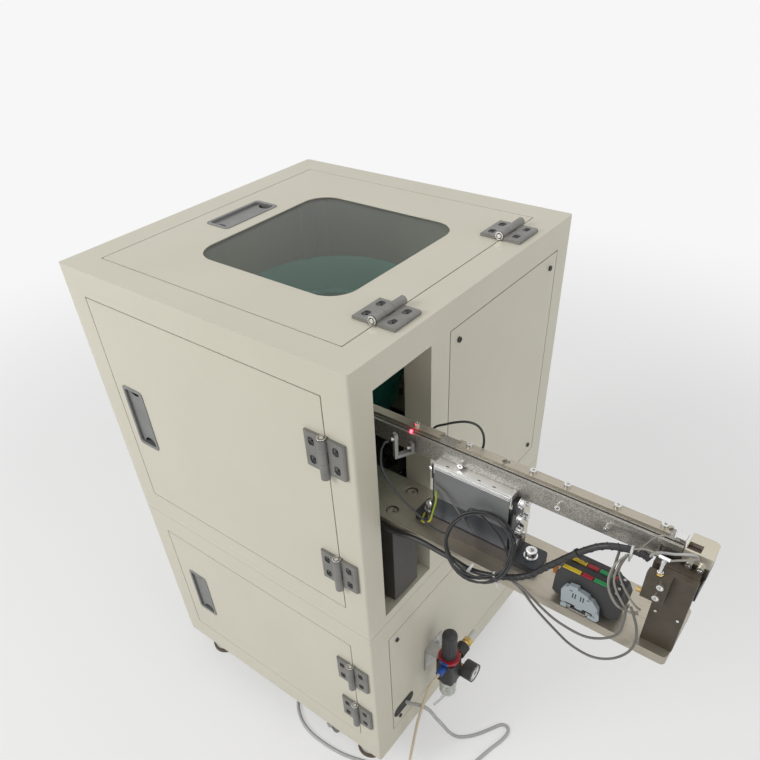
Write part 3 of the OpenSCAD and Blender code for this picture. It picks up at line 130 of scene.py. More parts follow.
# each finish: colours, roughness, grain and blotches per metre, share of the second colour, depth of the bump
usual = {"grain": 900, "blotch": 40, "amount": 0.4, "bump": 0.1}
finishes = {  # only what differs from the usual finish
    "ivoryPaint": {"main": (0.655, 0.625, 0.515), "second": (0.625, 0.595, 0.485), "rough": (0.42, 0.52), "blotch": 5,
                   "amount": 0.35, "bump": 0.12, "coat": 0.12},
    "zincPlate": {"main": (0.52, 0.52, 0.50), "second": (0.38, 0.38, 0.36), "metal": 0.85, "rough": (0.32, 0.5),
                  "grain": 700, "blotch": 60, "amount": 0.3},
    "castZinc": {"main": (0.27, 0.265, 0.25), "second": (0.2, 0.197, 0.185), "metal": 0.55, "rough": (0.4, 0.52),
                 "grain": 1100, "bump": 0.2},
    "brightSteel": {"main": (0.76, 0.76, 0.75), "second": (0.6, 0.6, 0.59), "metal": 1.0, "rough": (0.2, 0.34),
                    "grain": 600, "blotch": 90, "amount": 0.3, "bump": 0.05},
    "pullGrey": {"main": (0.27, 0.27, 0.262), "second": (0.215, 0.216, 0.21), "metal": 0.45, "rough": (0.38, 0.5),
                 "grain": 1200, "blotch": 25, "amount": 0.35, "bump": 0.15},
    "blackRubber": {"main": (0.02, 0.02, 0.02), "second": (0.035, 0.033, 0.03), "rough": (0.6, 0.8), "grain": 1500,
                    "blotch": 30, "bump": 0.2},
    "brownRubber": {"main": (0.16, 0.12, 0.09), "second": (0.11, 0.085, 0.065), "rough": (0.6, 0.75), "grain": 1200,
                    "bump": 0.2},
    "wheelGrey": {"main": (0.27, 0.26, 0.24), "second": (0.2, 0.19, 0.175), "rough": (0.5, 0.65), "blotch": 50,
                  "bump": 0.15},
    "darkPaint": {"main": (0.022, 0.025, 0.03), "second": (0.034, 0.038, 0.043), "rough": (0.4, 0.55), "grain": 1200,
                  "blotch": 20, "bump": 0.2},
    "greyPaint": {"main": (0.19, 0.195, 0.195), "second": (0.155, 0.16, 0.16), "rough": (0.4, 0.52), "grain": 1100,
                  "blotch": 20, "bump": 0.2},
    "tealCoat": {"main": (0.05, 0.33, 0.29), "second": (0.035, 0.26, 0.235), "rough": (0.5, 0.62), "blotch": 14,
                 "bump": 0.25},
    "beadedNickel": {"main": (0.46, 0.44, 0.40), "second": (0.17, 0.162, 0.145), "metal": 0.75, "rough": (0.3, 0.48),
                     "grain": 620, "blotch": 60, "amount": 0.85, "bump": 0.4},
    "satinNickel": {"main": (0.47, 0.43, 0.355), "second": (0.38, 0.345, 0.28), "metal": 0.75, "rough": (0.3, 0.42),
                    "grain": 420, "blotch": 12, "amount": 0.45, "bump": 0.06, "stretch": (0.08, 1, 1)},
    "bronzePlate": {"main": (0.105, 0.088, 0.066), "second": (0.075, 0.062, 0.045), "metal": 0.6,
                    "rough": (0.34, 0.48)},
    "aluminium": {"main": (0.80, 0.80, 0.785), "second": (0.68, 0.68, 0.67), "metal": 0.85, "rough": (0.28, 0.42),
                  "grain": 500, "blotch": 30, "bump": 0.06, "stretch": (0.1, 1, 1)},
    "blackSteel": {"main": (0.03, 0.03, 0.032), "second": (0.055, 0.055, 0.055), "metal": 0.3, "rough": (0.3, 0.45),
                   "bump": 0.08},
    "blackPlastic": {"main": (0.022, 0.022, 0.023), "second": (0.035, 0.035, 0.035), "rough": (0.42, 0.55),
                     "grain": 1500, "blotch": 30, "bump": 0.15},
    "lightPlastic": {"main": (0.62, 0.63, 0.62), "second": (0.56, 0.57, 0.56), "rough": (0.35, 0.48), "grain": 1000,
                     "blotch": 30, "amount": 0.3, "bump": 0.08},
    "redPlastic": {"main": (0.42, 0.015, 0.03), "second": (0.33, 0.012, 0.024), "rough": (0.3, 0.42), "amount": 0.3,
                   "bump": 0.06},
    "bluePlastic": {"main": (0.02, 0.1, 0.42), "second": (0.015, 0.08, 0.34), "rough": (0.3, 0.42), "amount": 0.3,
                    "bump": 0.06},
    "yellowPlastic": {"main": (0.75, 0.55, 0.03), "second": (0.65, 0.46, 0.03), "rough": (0.35, 0.45), "blotch": 80,
                      "amount": 0.3, "bump": 0.05},
    "greenPlastic": {"main": (0.03, 0.32, 0.1), "second": (0.02, 0.26, 0.08), "rough": (0.35, 0.45), "blotch": 80,
                     "amount": 0.3, "bump": 0.05},
    "orangePlastic": {"main": (0.8, 0.25, 0.02), "second": (0.7, 0.2, 0.02), "rough": (0.35, 0.45), "blotch": 80,
                      "amount": 0.3, "bump": 0.05},
    "headNickel": {"main": (0.60, 0.56, 0.46), "second": (0.52, 0.48, 0.39), "metal": 0.7, "rough": (0.3, 0.42),
                   "grain": 700, "blotch": 20, "bump": 0.06},
    "flangeBrown": {"main": (0.15, 0.135, 0.125), "second": (0.105, 0.094, 0.086), "metal": 0.4, "rough": (0.38, 0.5),
                    "grain": 800, "amount": 0.6, "bump": 0.2},
    "insertBrown": {"main": (0.11, 0.078, 0.07), "second": (0.08, 0.056, 0.05), "metal": 0.3, "rough": (0.35, 0.48),
                    "blotch": 60, "amount": 0.5},
    "clampBlue": {"main": (0.40, 0.45, 0.48), "second": (0.35, 0.395, 0.42), "rough": (0.42, 0.52), "grain": 1200,
                  "blotch": 30, "amount": 0.35},
    "thinLead": {"main": (0.34, 0.325, 0.28), "second": (0.28, 0.268, 0.23), "rough": (0.35, 0.48), "blotch": 60},
    "riserPaint": {"main": (0.04, 0.035, 0.03), "second": (0.055, 0.05, 0.042), "rough": (0.5, 0.62), "grain": 1200,
                   "blotch": 20, "bump": 0.2},
    "brass": {"main": (0.62, 0.44, 0.16), "second": (0.5, 0.34, 0.12), "metal": 1.0, "rough": (0.25, 0.4),
              "grain": 700, "blotch": 80, "amount": 0.3, "bump": 0.05},
    # copper darkened nearly to black: painted shade for the coils that sit in shadow under their covers
    "shadedCopperCoil": {"main": (0.06, 0.035, 0.025), "second": (0.04, 0.025, 0.018), "metal": 0.3, "rough": (0.4, 0.55),
                   "grain": 500, "amount": 0.6, "bump": 0.3, "stretch": (1, 1, 0.1)},
    "cableGrey": {"main": (0.50, 0.50, 0.49), "second": (0.44, 0.44, 0.43), "rough": (0.42, 0.55), "amount": 0.3},
    "cableBlack": {"main": (0.02, 0.02, 0.021), "second": (0.035, 0.035, 0.035), "rough": (0.38, 0.5), "amount": 0.3},
    "cableDark": {"main": (0.17, 0.165, 0.15), "second": (0.13, 0.125, 0.112), "rough": (0.4, 0.52), "amount": 0.3},
    "earthGreen": {"main": (0.22, 0.4, 0.03), "second": (0.55, 0.5, 0.03), "rough": (0.4, 0.5), "grain": 300,
                   "blotch": 60, "amount": 0.1, "bump": 0.05},
    "tieWhite": {"main": (0.72, 0.72, 0.70), "second": (0.66, 0.66, 0.64), "rough": (0.35, 0.45), "blotch": 60,
                 "amount": 0.3, "bump": 0.05},
    "dialWhite": {"main": (0.78, 0.78, 0.76), "second": (0.74, 0.74, 0.72), "rough": (0.4, 0.5), "blotch": 60,
                  "amount": 0.3, "bump": 0.02},
}
clearFinishes = {
    "tintedPane": {"color": (0.66, 0.70, 0.63), "rough": 0.0, "through": 0.97, "ior": 1.16},
    "clearCup": {"color": (0.82, 0.84, 0.80), "rough": 0.12, "through": 0.85, "ior": 1.4},
    "airHose": {"color": (0.80, 0.70, 0.52), "rough": 0.25, "through": 0.35, "ior": 1.4},
}
materials = {}


def newMaterial(name):
    material = bpy.data.materials.new(name)
    material.use_nodes = True
    return material, material.node_tree, material.node_tree.nodes["Principled BSDF"]


def getMaterial(name):
    if name in materials:
        return materials[name]
    material, tree, shader = newMaterial(name)
    spot = addNode(tree, "ShaderNodeTexCoord")
    if name in clearFinishes:
        look = clearFinishes[name]
        haze = addNode(tree, "ShaderNodeTexNoise", {"Scale": 30, "Detail": 3}, {"Vector": spot.outputs["Object"]})
        rough = addNode(tree, "ShaderNodeMapRange", {"To Min": look["rough"], "To Max": look["rough"] * 1.4 + 0.004},
                        {"Value": haze.outputs["Fac"]})
        tree.links.new(rough.outputs["Result"], shader.inputs["Roughness"])
        shader.inputs["Base Color"].default_value = (*look["color"], 1)
        shader.inputs["Transmission Weight"].default_value = look["through"]
        shader.inputs["IOR"].default_value = look["ior"]
    else:
        look = {**usual, **finishes[name]}
        aim = addNode(tree, "ShaderNodeMapping", {"Scale": look.get("stretch", (1, 1, 1))},
                      {"Vector": spot.outputs["Object"]})
        effect = addNode(tree, "ShaderNodeGroup", node_tree=finishGroup)
        tree.links.new(aim.outputs["Vector"], effect.inputs["Vector"])
        for key, value in {"Main Color": (*look["main"], 1), "Second Color": (*look["second"], 1),
                           "Grain Scale": look["grain"], "Blotch Scale": look["blotch"],
                           "Grain Amount": look["amount"], "Rough Low": look["rough"][0],
                           "Rough High": look["rough"][1]}.items():
            effect.inputs[key].default_value = value
        bump = addNode(tree, "ShaderNodeBump", {"Strength": look["bump"], "Distance": 0.0004},
                       {"Height": effect.outputs["Height"]})
        tree.links.new(effect.outputs["Color"], shader.inputs["Base Color"])
        tree.links.new(effect.outputs["Roughness"], shader.inputs["Roughness"])
        tree.links.new(bump.outputs["Normal"], shader.inputs["Normal"])
        shader.inputs["Metallic"].default_value = look.get("metal", 0.0)
        shader.inputs["Coat Weight"].default_value = look.get("coat", 0.0)
    materials[name] = material
    return material


# cords
def smoothPath(points, steps=4):  # a Catmull-Rom curve through given points, in millimetres
    path = []
    for index in range(len(points) - 1):
        a, b = Vector(points[max(index - 1, 0)]), Vector(points[index])
        c, d = Vector(points[index + 1]), Vector(points[min(index + 2, len(points) - 1)])
        for step in range(steps):
            t = step / steps
            path.append(0.5 * (2 * b + (c - a) * t + (2 * a - 5 * b + 4 * c - d) * t ** 2
                               + (3 * b - a - 3 * c + d) * t ** 3))
    return path + [Vector(points[-1])]


def addCurve(name, path, diameter, finish, sides=4):
    data = bpy.data.curves.new(name, "CURVE")
    data.dimensions = "3D"
    data.bevel_depth = diameter / 2000
    data.bevel_resolution = sides
    data.use_fill_caps = True
    spline = data.splines.new("POLY")
    spline.points.add(len(path) - 1)
    for target, point in zip(spline.points, path):
        target.co = (*(point / 1000), 1)
    spline.use_smooth = True
    data.materials.append(getMaterial(finish))
    piece = bpy.data.objects.new(name, data)
    bpy.context.scene.collection.objects.link(piece)
    return piece


def coilPath(spec):  # turns laid in columns and rows, the step to the next lay taken in the last fifth of a turn
    path, lays, pitch, slack = [], spec["lays"], spec["diameter"] * 0.98, spec.get("slack", 0)
    steps = 30
    for turn, (column, row) in enumerate(lays):
        last = turn == len(lays) - 1
        nextColumn, nextRow = lays[turn if last else turn + 1]
        for step in range(round(steps * spec["lastTurn"]) + 1 if last else steps):
            t = step / steps
            shift = min(max((t - 0.8) / 0.2, 0), 1)
            shift = shift * shift * (3 - 2 * shift)
            angle = math.radians(spec["start"]) + spec["sense"] * 2 * math.pi * t
            loose = slack * math.sin(math.pi * t)  # a slack coil's turns wander apart between their ties
            radius = spec["radius"] + (column + (nextColumn - column) * shift - 0.5) * pitch
            radius += loose * math.sin(math.pi * t) * math.sin(angle * 2 + turn * 2.4)
            height = spec["diameter"] / 2 + (row + (nextRow - row) * shift) * pitch
            height += loose * 0.6 * math.sin(angle + turn * 1.7)
            path.append(Vector((radius * math.cos(angle), radius * math.sin(angle), height)))
    matrix = Matrix.Translation(spec["at"]) @ spec.get("tilt", Matrix())
    return [matrix @ point for point in path]


def layCord(name, path, width, finish, slot, nodes=(), digits=3, **facts):
    piece = addCurve(name, path, width, finish)
    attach(piece, "cabinet")
    if nodes:
        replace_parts(piece, *nodes)


mainsCable = {"diameter": 8, "points": [
    (291, -207.5, 178), (304, -207.5, 178), (317, -204, 178.5), (329, -198, 178), (338, -192, 170), (346, -183, 150),
    (353, -172, 115), (361, -158, 75), (370, -146, 38), (382, -134, 13), (394, -123, 5.5), (410, -106, 4),
    (424, -86, 4), (438, -62, 4), (449, -45, 4), (462, -42, 4), (470, -54, 4), (468, -78, 4), (460, -105, 4),
    (452, -135, 4), (444, -170, 4), (430, -212, 4), (405, -250, 4), (370, -272, 4), (325, -282, 4), (288, -288, 4),
    (252, -298, 4), (216, -310, 4), (180, -317, 4), (142, -319, 4), (106, -317, 4), (72, -307, 4), (42, -288, 4),
    (21, -262, 4), (8, -236, 4), (-5, -215, 4), (-20, -206.4, 4)],
    "coil": {"diameter": 8, "radius": 44, "at": (-20, -150, 0), "start": -108, "sense": -1, "lastTurn": 0.75,
             "lays": [(1, 0), (0, 0), (0, 1), (1, 1), (1, 2), (0, 2)]}}
airTube = {"diameter": 6, "points": [
    (350, -156, 264), (350, -168, 264), (348, -180, 259), (345, -188, 245), (343, -194, 222), (339, -200, 195),
    (336, -206, 165), (333, -213, 130), (332, -222, 90), (334, -236, 52), (338, -252, 26), (344, -272, 15),
    (351, -292, 7), (357, -312, 3), (361, -334, 3), (361.8, -350, 3)],
    "coil": {"diameter": 6, "radius": 33, "at": (404, -352, 0), "start": 165, "sense": -1, "lastTurn": 0.8,
             "lays": [(1, 0), (0, 0), (0, 1), (1, 1), (1, 2), (0, 2), (0, 3), (1, 3)]}}


def addMains():
    path = smoothPath(mainsCable["points"]) + coilPath(mainsCable["coil"])
    layCord("mainsCableRun", path, mainsCable["diameter"], "cableGrey", "cable_grey", ("mains_cable", "mains_coil"), 2,
            diameter=0.008, far_end="plug", stiffness="medium", lay="loose", with_pieces=["mains_plug"])


def addAirTube():
    path = smoothPath(airTube["points"]) + coilPath(airTube["coil"])
    layCord("airTubeRun", path, airTube["diameter"], "airHose", "air_hose", ("air_tube", "air_coil"), 2,
            diameter=0.006, far_end="bare", stiffness="medium", lay="loose")


addMains()
addAirTube()

beamWires = {  # the short runs round the beam: diameter, finish, points
    "bundle": (9, "cableBlack", [
        (488, -248, 738.5), (502, -245, 742), (519, -236, 744), (534, -231, 754), (549, -228, 773),
        (564, -225, 792), (588, -221, 822), (614, -216, 846), (639, -211, 853), (660, -206, 851),
        (668.5, -206, 847.5)]),
    "innerLoop": (3.4, "cableDark", [
        (666, -246, 800), (669, -250, 780), (667, -250, 750), (650, -250, 727), (626, -250, 714), (592, -250, 716),
        (566, -248, 724), (532, -242, 736), (506, -238, 736)]),
    "outerLoop": (3.4, "cableDark", [
        (671, -244, 800), (684, -250, 780), (689, -250, 752), (684, -250, 724), (667, -250, 697), (643, -250, 682),
        (614, -250, 684), (590, -250, 697), (558, -248, 716), (530, -243, 734), (506, -239, 739)]),
    "drop": (3.4, "cableDark", [
        (634, -212, 846), (635, -222, 820), (636, -228, 798), (650, -234, 782), (664, -240, 786), (668, -245, 802)]),
    "arc": (3.4, "cableBlack", [
        (326, -166.9, 858), (333, -160, 872), (350, -160, 884), (366, -160, 894), (383, -160, 902),
        (398, -160, 904), (408, -160, 898), (413, -161, 886), (411, -160, 868), (403, -166.9, 850)]),
    "lead": (3.4, "cableBlack", [
        (303.2, -231.9, 879), (300.5, -236.6, 878.4), (298, -242, 864), (304, -247, 838), (334, -249, 806),
        (372, -249, 784), (388, -248.5, 775), (401.9, -247.7, 773), (414.7, -245.4, 772.9)]),
    "headLead": (3.4, "cableGrey", [
        (668, -206, 848), (668.8, -206, 855), (673.5, -206.5, 863), (682, -208, 869), (692, -209, 874),
        (704, -210, 882), (713, -206, 882), (716, -198.2, 871)]),
    "earth": (3, "earthGreen", [
        (372, -210.9, 808), (372.5, -214.5, 807.5), (376, -220, 798), (372, -222, 774), (368, -224, 756),
        (352, -220, 744), (346, -204, 745)]),
}


def addBeamWires():
    for name, (diameter, finish, points) in beamWires.items():
        layCord(name + "Wire", smoothPath(points, 5), diameter, finish, "cable_black", ("wiring",),
                diameter=diameter / 1000, far_end="object", stiffness="limp", lay="hanging")


addBeamWires()

sensorCoil = {"diameter": 3.0, "radius": 47, "slack": 3.2, "at": (461, -239, 774), "start": 150, "sense": -1,
              "lastTurn": 0.45,
              "tilt": Matrix.Rotation(math.radians(10), 4, "Z") @ Matrix.Rotation(math.radians(60), 4, "X"),
              "lays": [(1, 0), (0, 0.4), (1, 1.2), (0, 1.8), (1, 2.6), (0, 3.2)]}


def addSensorCoil():
    layCord("sensorCoilWire", coilPath(sensorCoil), sensorCoil["diameter"], "cableBlack", "cable_black",
            ("sensor_cable_coil",), 2, diameter=0.0034, far_end="object", stiffness="limp", lay="coiled")


addSensorCoil()
print("cords laid")


# what every mesh piece shares
def nodeMesh(node):  # a merged copy of one node of the frame
    mesh = bmesh.new()
    mesh.from_mesh(frame["nodes"][node].data)
    bmesh.ops.remove_doubles(mesh, verts=mesh.verts, dist=1e-6)
    return mesh


def meshPiece(name, mesh, finishNames):
    data = bpy.data.meshes.new(name)
    mesh.to_mesh(data)
    mesh.free()
    for face in data.polygons:
        face.use_smooth = True
    data.set_sharp_from_angle(angle=math.radians(32))
    for finish in finishNames:
        data.materials.append(getMaterial(finish))
    piece = bpy.data.objects.new(name, data)
    bpy.context.scene.collection.objects.link(piece)
    return piece


def softenEdges(piece, width, segments=2):
    soften = piece.modifiers.new("softEdges", "BEVEL")
    soften.width = width / 1000
    soften.segments = segments
    soften.harden_normals = True
    return soften


def linkedGroups(items, neighbours):  # items that hang together, such as the corners of one loose solid
    left, groups = set(items), []
    while left:
        group, queue = [], [left.pop()]
        while queue:
            item = queue.pop()
            group.append(item)
            for other in neighbours(item):
                if other in left:
                    left.remove(other)
                    queue.append(other)
        groups.append(group)
    return groups


# dressed copies of the frame's pieces: merged, edges softened, finishes by zone
def onPlane(edge, axis, value):  # both ends of an edge lie on a plane square to an axis
    return all(abs(corner.co[axis] * 1000 - value) < 0.06 for corner in edge.verts)


def dressNode(node, finish, edge=0.4, zones=(), fold=None):  # fold: width, steps, shortest edge and planes
    mesh = nodeMesh(node)
    for low, high, _ in zones:
        for corner, sign in ((low, -1), (high, 1)):
            for axis in range(3):
                if abs(corner[axis]) < 9000:
                    normal = [0, 0, 0]
                    normal[axis] = sign
                    bmesh.ops.bisect_plane(mesh, geom=mesh.verts[:] + mesh.edges[:] + mesh.faces[:], dist=1e-7,
                                           plane_co=[value / 1000 for value in corner], plane_no=normal)
    for index, (low, high, _) in enumerate(zones):
        for face in mesh.faces:
            middle = face.calc_center_median() * 1000
            if all(a - 1e-3 <= value <= b + 1e-3 for a, value, b in zip(low, middle, high)):
                face.material_index = index + 1
    bmesh.ops.dissolve_limit(mesh, angle_limit=math.radians(0.6), use_dissolve_boundaries=False,
                             verts=mesh.verts[:], edges=mesh.edges[:], delimit={"MATERIAL"})
    if edge:
        widest = max(edge, fold["width"]) if fold else edge
        weights = mesh.edges.layers.float.new("bevel_weight_edge")
        for line in mesh.edges:
            if line.is_manifold and line.calc_face_angle() > math.radians(40):
                folded = fold and line.is_convex and line.calc_length() * 1000 > fold["shortest"] and any(
                    onPlane(line, axis, value) for axis, value in fold["planes"])
                line[weights] = fold["width"] / widest if folded else edge / widest
    piece = meshPiece(node + "Dressed", mesh, [finish] + [zone[2] for zone in zones])
    if edge:
        soften = softenEdges(piece, widest, fold["steps"] if fold else 2)
        soften.limit_method = "WEIGHT"
        soften.use_clamp_overlap = True
    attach(piece, bodyOfNode[node])
    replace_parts(piece, node)
    return piece


sheetFold = {"width": 1.6, "steps": 3, "shortest": 1.5}
boxPlanes = [(0, -300), (0, 300), (1, -300), (1, 300), (2, 1020)]
leafChamfer = {"width": 2.6, "steps": 1, "shortest": 12}
boxFold = {**sheetFold, "planes": boxPlanes}
dressing = {  # node: finish, edge radius in millimetres, zones of another finish, wider folds
    "lower_cabinet": ("ivoryPaint", 0.4, (), boxFold), "deck_plate": ("ivoryPaint", 1.2),
    "upper_cabinet": ("ivoryPaint", 0.4, (), boxFold),
    **{node: ("ivoryPaint", 0.3, (), boxFold) for node in (
        "right_upper_panel", "right_lower_panel", "left_and_rear_panels", "lid_panel", "upper_door_panel",
        "lower_door_panel")},
    "panel_screws": ("blackSteel", 0.3), "cable_grommet": ("blackRubber", 0.6),
    "levelling_feet": ("zincPlate", 0.4, [((-400, -400, -1), (400, 400, 10.01), "brownRubber")]),
    **{node: ("zincPlate", 0.4) for node in ("caster_plates", "front_left_fork", "front_right_fork")},
    **{node: ("wheelGrey", 0.3) for node in (
        "front_left_wheel", "front_right_wheel", "rear_left_wheel", "rear_right_wheel")},
    "frame_hinge_leaves": ("castZinc", 0.5, (), {**leafChamfer, "planes": [(1, -306), (2, 1026)]}),
    "lid_hinge_leaves": ("castZinc", 0.5, (), {**leafChamfer, "planes": [(2, 1026)]}),
    **{node: ("castZinc", 0.5, (), {**leafChamfer, "planes": [(1, -306)]}) for node in (
        "upper_door_leaves", "lower_door_leaves")},
    "hinge_pins": ("brightSteel", 0.4),
    **{node: ("pullGrey", 0.5) for node in (
        "lid_pull", "upper_door_pull", "lower_door_pull", "lid_paddle", "upper_door_paddle", "lower_door_paddle")},
    "lid_window": ("tintedPane", 0),
    "bowl_drive": ("greyPaint", 0.8, [
        # the bowl drive's coil zone is copper painted dark as shade
        ((-400, -400, 400), (400, 400, 529), "blackRubber"), ((-36, -31, 599.05), (36, 31, 700), "shadedCopperCoil")]),
    "bowl": ("tealCoat", 0.6), "spiral_track": ("tealCoat", 0),
    "beam_riser": ("riserPaint", 0.8), "support_beam": ("satinNickel", 1.2),
    "linear_drive_base": ("darkPaint", 0.8, [
        ((335.5, -202, 742.03), (355.9, -176, 760), "brightSteel"),
        ((503, -202, 742.03), (530, -176, 760), "brightSteel"),
        # the coil under the drive's cover is copper painted dark as shade
        ((396, -220, 792.02), (454, -150, 836), "shadedCopperCoil"),
        ((356, -212, 730), (494.1, -165, 753.01), "flangeBrown")]),
    "leaf_springs": ("blackSteel", 0.3, [
        ((492.35, -300, 700), (520, -100, 900), "brightSteel"),
        ((330, -300, 700), (357.65, -100, 900), "brightSteel")]),
    "drive_top_block": ("aluminium", 0.4, [
        ((300, -260, 800), (600, -209.05, 850), "greyPaint"),
        ((300, -168.95, 800), (600, -100, 850), "greyPaint")]),
    "near_rail": ("beadedNickel", 0.3, [((0, -300, 800), (800, -194.05, 900), "brightSteel")]),
    "far_rail": ("beadedNickel", 0.3, [
        ((0, -400, 874.02), (800, -100, 877.01), "satinNickel"),
        ((0, -400, 877.02), (800, -100, 890), "brightSteel")]),
    "end_post": ("bronzePlate", 0.6),
    "end_block": ("headNickel", 0.5, [
        ((600, -213, 800), (800, -196.6, 854.01), "bronzePlate"),
        ((600, -213, 800), (800, -100, 841.98), "blackSteel"),
        ((600, -196.7, 842), (800, -100, 860), "bronzePlate"),
        ((600, -240, 854.02), (800, -196.55, 900), "brightSteel")]),
    "shuttle": ("insertBrown", 0.3),
    "shuttle_cylinder": ("bronzePlate", 0.4, [
        ((600, -300, 800), (800, -232.55, 854), "brightSteel"),
        ((600, -300, 854.02), (800, -200, 858), "brass"),
        ((600, -300, 858), (800, -200, 880), "brightSteel"),
        ((600, -300, 800), (673.9, -200, 854), "brass")]),
    "sensor_bracket": ("zincPlate", 0.4), "regulator_bracket": ("zincPlate", 0.3),
    "regulator_body": ("blackPlastic", 0.6, [
        ((320, -150, 277.98), (380, -98, 286.01), "redPlastic"),
        ((320, -200, 250), (380, -144.05, 290), "bluePlastic"),
        ((320, -103.95, 230), (380, -48.02, 270), "brass"),
        ((320, -48, 230), (380, 0, 270), "lightPlastic"),
        ((300, -104, 200), (308, -60, 290), "zincPlate")]),
    "regulator_bowl": ("clearCup", 0), "regulator_knob": ("blackPlastic", 0.6),
    "pressure_gauge": ("blackPlastic", 0.4, [
        ((396.5, -120, 205), (396.8, -74, 255), "dialWhite"), ((340, -110, 220), (371.95, -90, 240), "brass")]),
    "valve_sleeve": ("blackPlastic", 0.4), "mains_plug": ("cableGrey", 0.8),
}
for node, settings in dressing.items():
    dressNode(node, *settings)
print("frame pieces dressed:", len(dressing))


# small pieces that the frame has no room for
def finishPiece(name, mesh, finish, body, edge=0.0):
    bmesh.ops.remove_doubles(mesh, verts=mesh.verts, dist=1e-7)
    bmesh.ops.recalc_face_normals(mesh, faces=mesh.faces)
    piece = meshPiece(name, mesh, [finish])
    if edge:
        softenEdges(piece, edge)
    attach(piece, body)
    return piece


def addBlock(mesh, low, high, turn=None):
    low, high = Vector(low) / 1000, Vector(high) / 1000
    matrix = Matrix.Translation((low + high) / 2) @ Matrix.Diagonal((*(high - low), 1))
    bmesh.ops.create_cube(mesh, size=1, matrix=(turn or Matrix()) @ matrix)


def addRod(mesh, start, end, radius, segments=24, tip=None):
    start, end = Vector(start) / 1000, Vector(end) / 1000
    along = end - start
    matrix = Matrix.Translation((start + end) / 2) @ along.to_track_quat("Z", "Y").to_matrix().to_4x4()
    bmesh.ops.create_cone(mesh, cap_ends=True, segments=segments, radius1=radius / 1000,
                          radius2=(radius if tip is None else tip) / 1000, depth=along.length, matrix=matrix)


gaugeDial = {"centre": (396.9, -97, 230), "rim": 16, "ticks": 13, "from": 225, "to": -45, "needle": 60,
             "longTick": 4.5, "shortTick": 2.6, "hub": 2.2}


def addGaugeDial():
    x, y, z = gaugeDial["centre"]
    mesh = bmesh.new()
    rim = gaugeDial["rim"]
    for index in range(gaugeDial["ticks"]):
        angle = gaugeDial["from"] + (gaugeDial["to"] - gaugeDial["from"]) * index / (gaugeDial["ticks"] - 1)
        turn = Matrix.Translation(mm(x, y, z)) @ Matrix.Rotation(math.radians(angle), 4, "X")
        depth = gaugeDial["shortTick" if index % 3 else "longTick"]
        addBlock(mesh, (-0.15, rim - depth, -0.35), (0.15, rim, 0.35), turn)
    turn = Matrix.Translation(mm(x, y, z)) @ Matrix.Rotation(math.radians(gaugeDial["needle"]), 4, "X")
    addBlock(mesh, (0.1, -4, -0.5), (0.5, 12, 0.5), turn)
    addRod(mesh, (x - 0.1, y, z), (x + 0.7, y, z), gaugeDial["hub"])
    finishPiece("gaugeMarks", mesh, "blackPlastic", "cabinet")


bundleWrap = {"radius": 4.75, "turns": 22, "width": 1.1}


def addBundleWrap():  # the spiral wrap round the cable bundle
    path = smoothPath(beamWires["bundle"][2], 12)
    wrap = []
    side = Vector((0, 0, 1))
    for index, point in enumerate(path):
        along = (path[min(index + 1, len(path) - 1)] - path[max(index - 1, 0)]).normalized()
        side = (side - along * side.dot(along)).normalized()
        angle = 2 * math.pi * bundleWrap["turns"] * index / (len(path) - 1)
        wrap.append(point + bundleWrap["radius"] * (math.cos(angle) * side + math.sin(angle) * along.cross(side)))
    piece = addCurve("bundleWrap", smoothPath(wrap, 3), bundleWrap["width"], "cableBlack", 2)
    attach(piece, "cabinet")


ties = {  # centre, direction of the cable, half height and half width of the loop, finish
    "coilLower": ((457, -252, 740), (0.9, 0.1, -0.35), 7.5, 5.0, "tieWhite"),
    "coilRight": ((494, -250, 741), (0.9, 0.25, 0.25), 8.5, 6.0, "tieWhite"),
    "bundleMiddle": ((588, -221, 822), (0.62, 0.13, 0.75), 5.6, 5.6, "cableBlack"),
    "bundleEnd": ((647, -209.5, 852.5), (0.97, 0.2, 0.0), 6.4, 6.4, "tieWhite"),
}
tieStrip = {"thick": 0.0009, "wide": 0.0032}


def addTies():  # a strip spun into a loop, with its head and cut tail below
    for name, (centre, direction, tall, wide, finish) in ties.items():
        mesh = bmesh.new()
        strip = bmesh.ops.create_grid(mesh, x_segments=1, y_segments=1, size=0.5)["verts"]
        bmesh.ops.scale(mesh, vec=(tieStrip["thick"], tieStrip["wide"], 1), verts=strip)
        bmesh.ops.rotate(mesh, matrix=Matrix.Rotation(math.radians(90), 3, "X"), verts=strip)
        bmesh.ops.translate(mesh, vec=(wide / 1000, 0, 0), verts=strip)
        bmesh.ops.spin(mesh, geom=mesh.verts[:] + mesh.edges[:] + mesh.faces[:], cent=(0, 0, 0), axis=(0, 0, 1),
                       dvec=(0, 0, 0), angle=2 * math.pi, steps=28, use_merge=True, use_duplicate=False)
        bmesh.ops.scale(mesh, vec=(1, tall / wide, 1), verts=mesh.verts)
        addBlock(mesh, (-2.4, -tall - 4, -2.4), (2.4, -tall + 0.4, 2.4))
        addBlock(mesh, (-0.6, -tall - 12, -1.6), (0.6, -tall - 3, 1.6))
        turn = Vector(direction).to_track_quat("Z", "Y").to_matrix().to_4x4()
        bmesh.ops.transform(mesh, matrix=Matrix.Translation(mm(*centre)) @ turn, verts=mesh.verts)
        finishPiece(name + "Tie", mesh, finish, "cabinet", 0.2)


def addProfile(mesh, outline, low, high):  # a slice with its outline drawn in X and Z, between two places along Y
    face = mesh.faces.new([mesh.verts.new(mm(x, low, z)) for x, z in outline])
    grown = bmesh.ops.extrude_face_region(mesh, geom=[face])["geom"]
    far = [item for item in grown if isinstance(item, bmesh.types.BMVert)]
    bmesh.ops.translate(mesh, vec=mm(0, high - low, 0), verts=far)


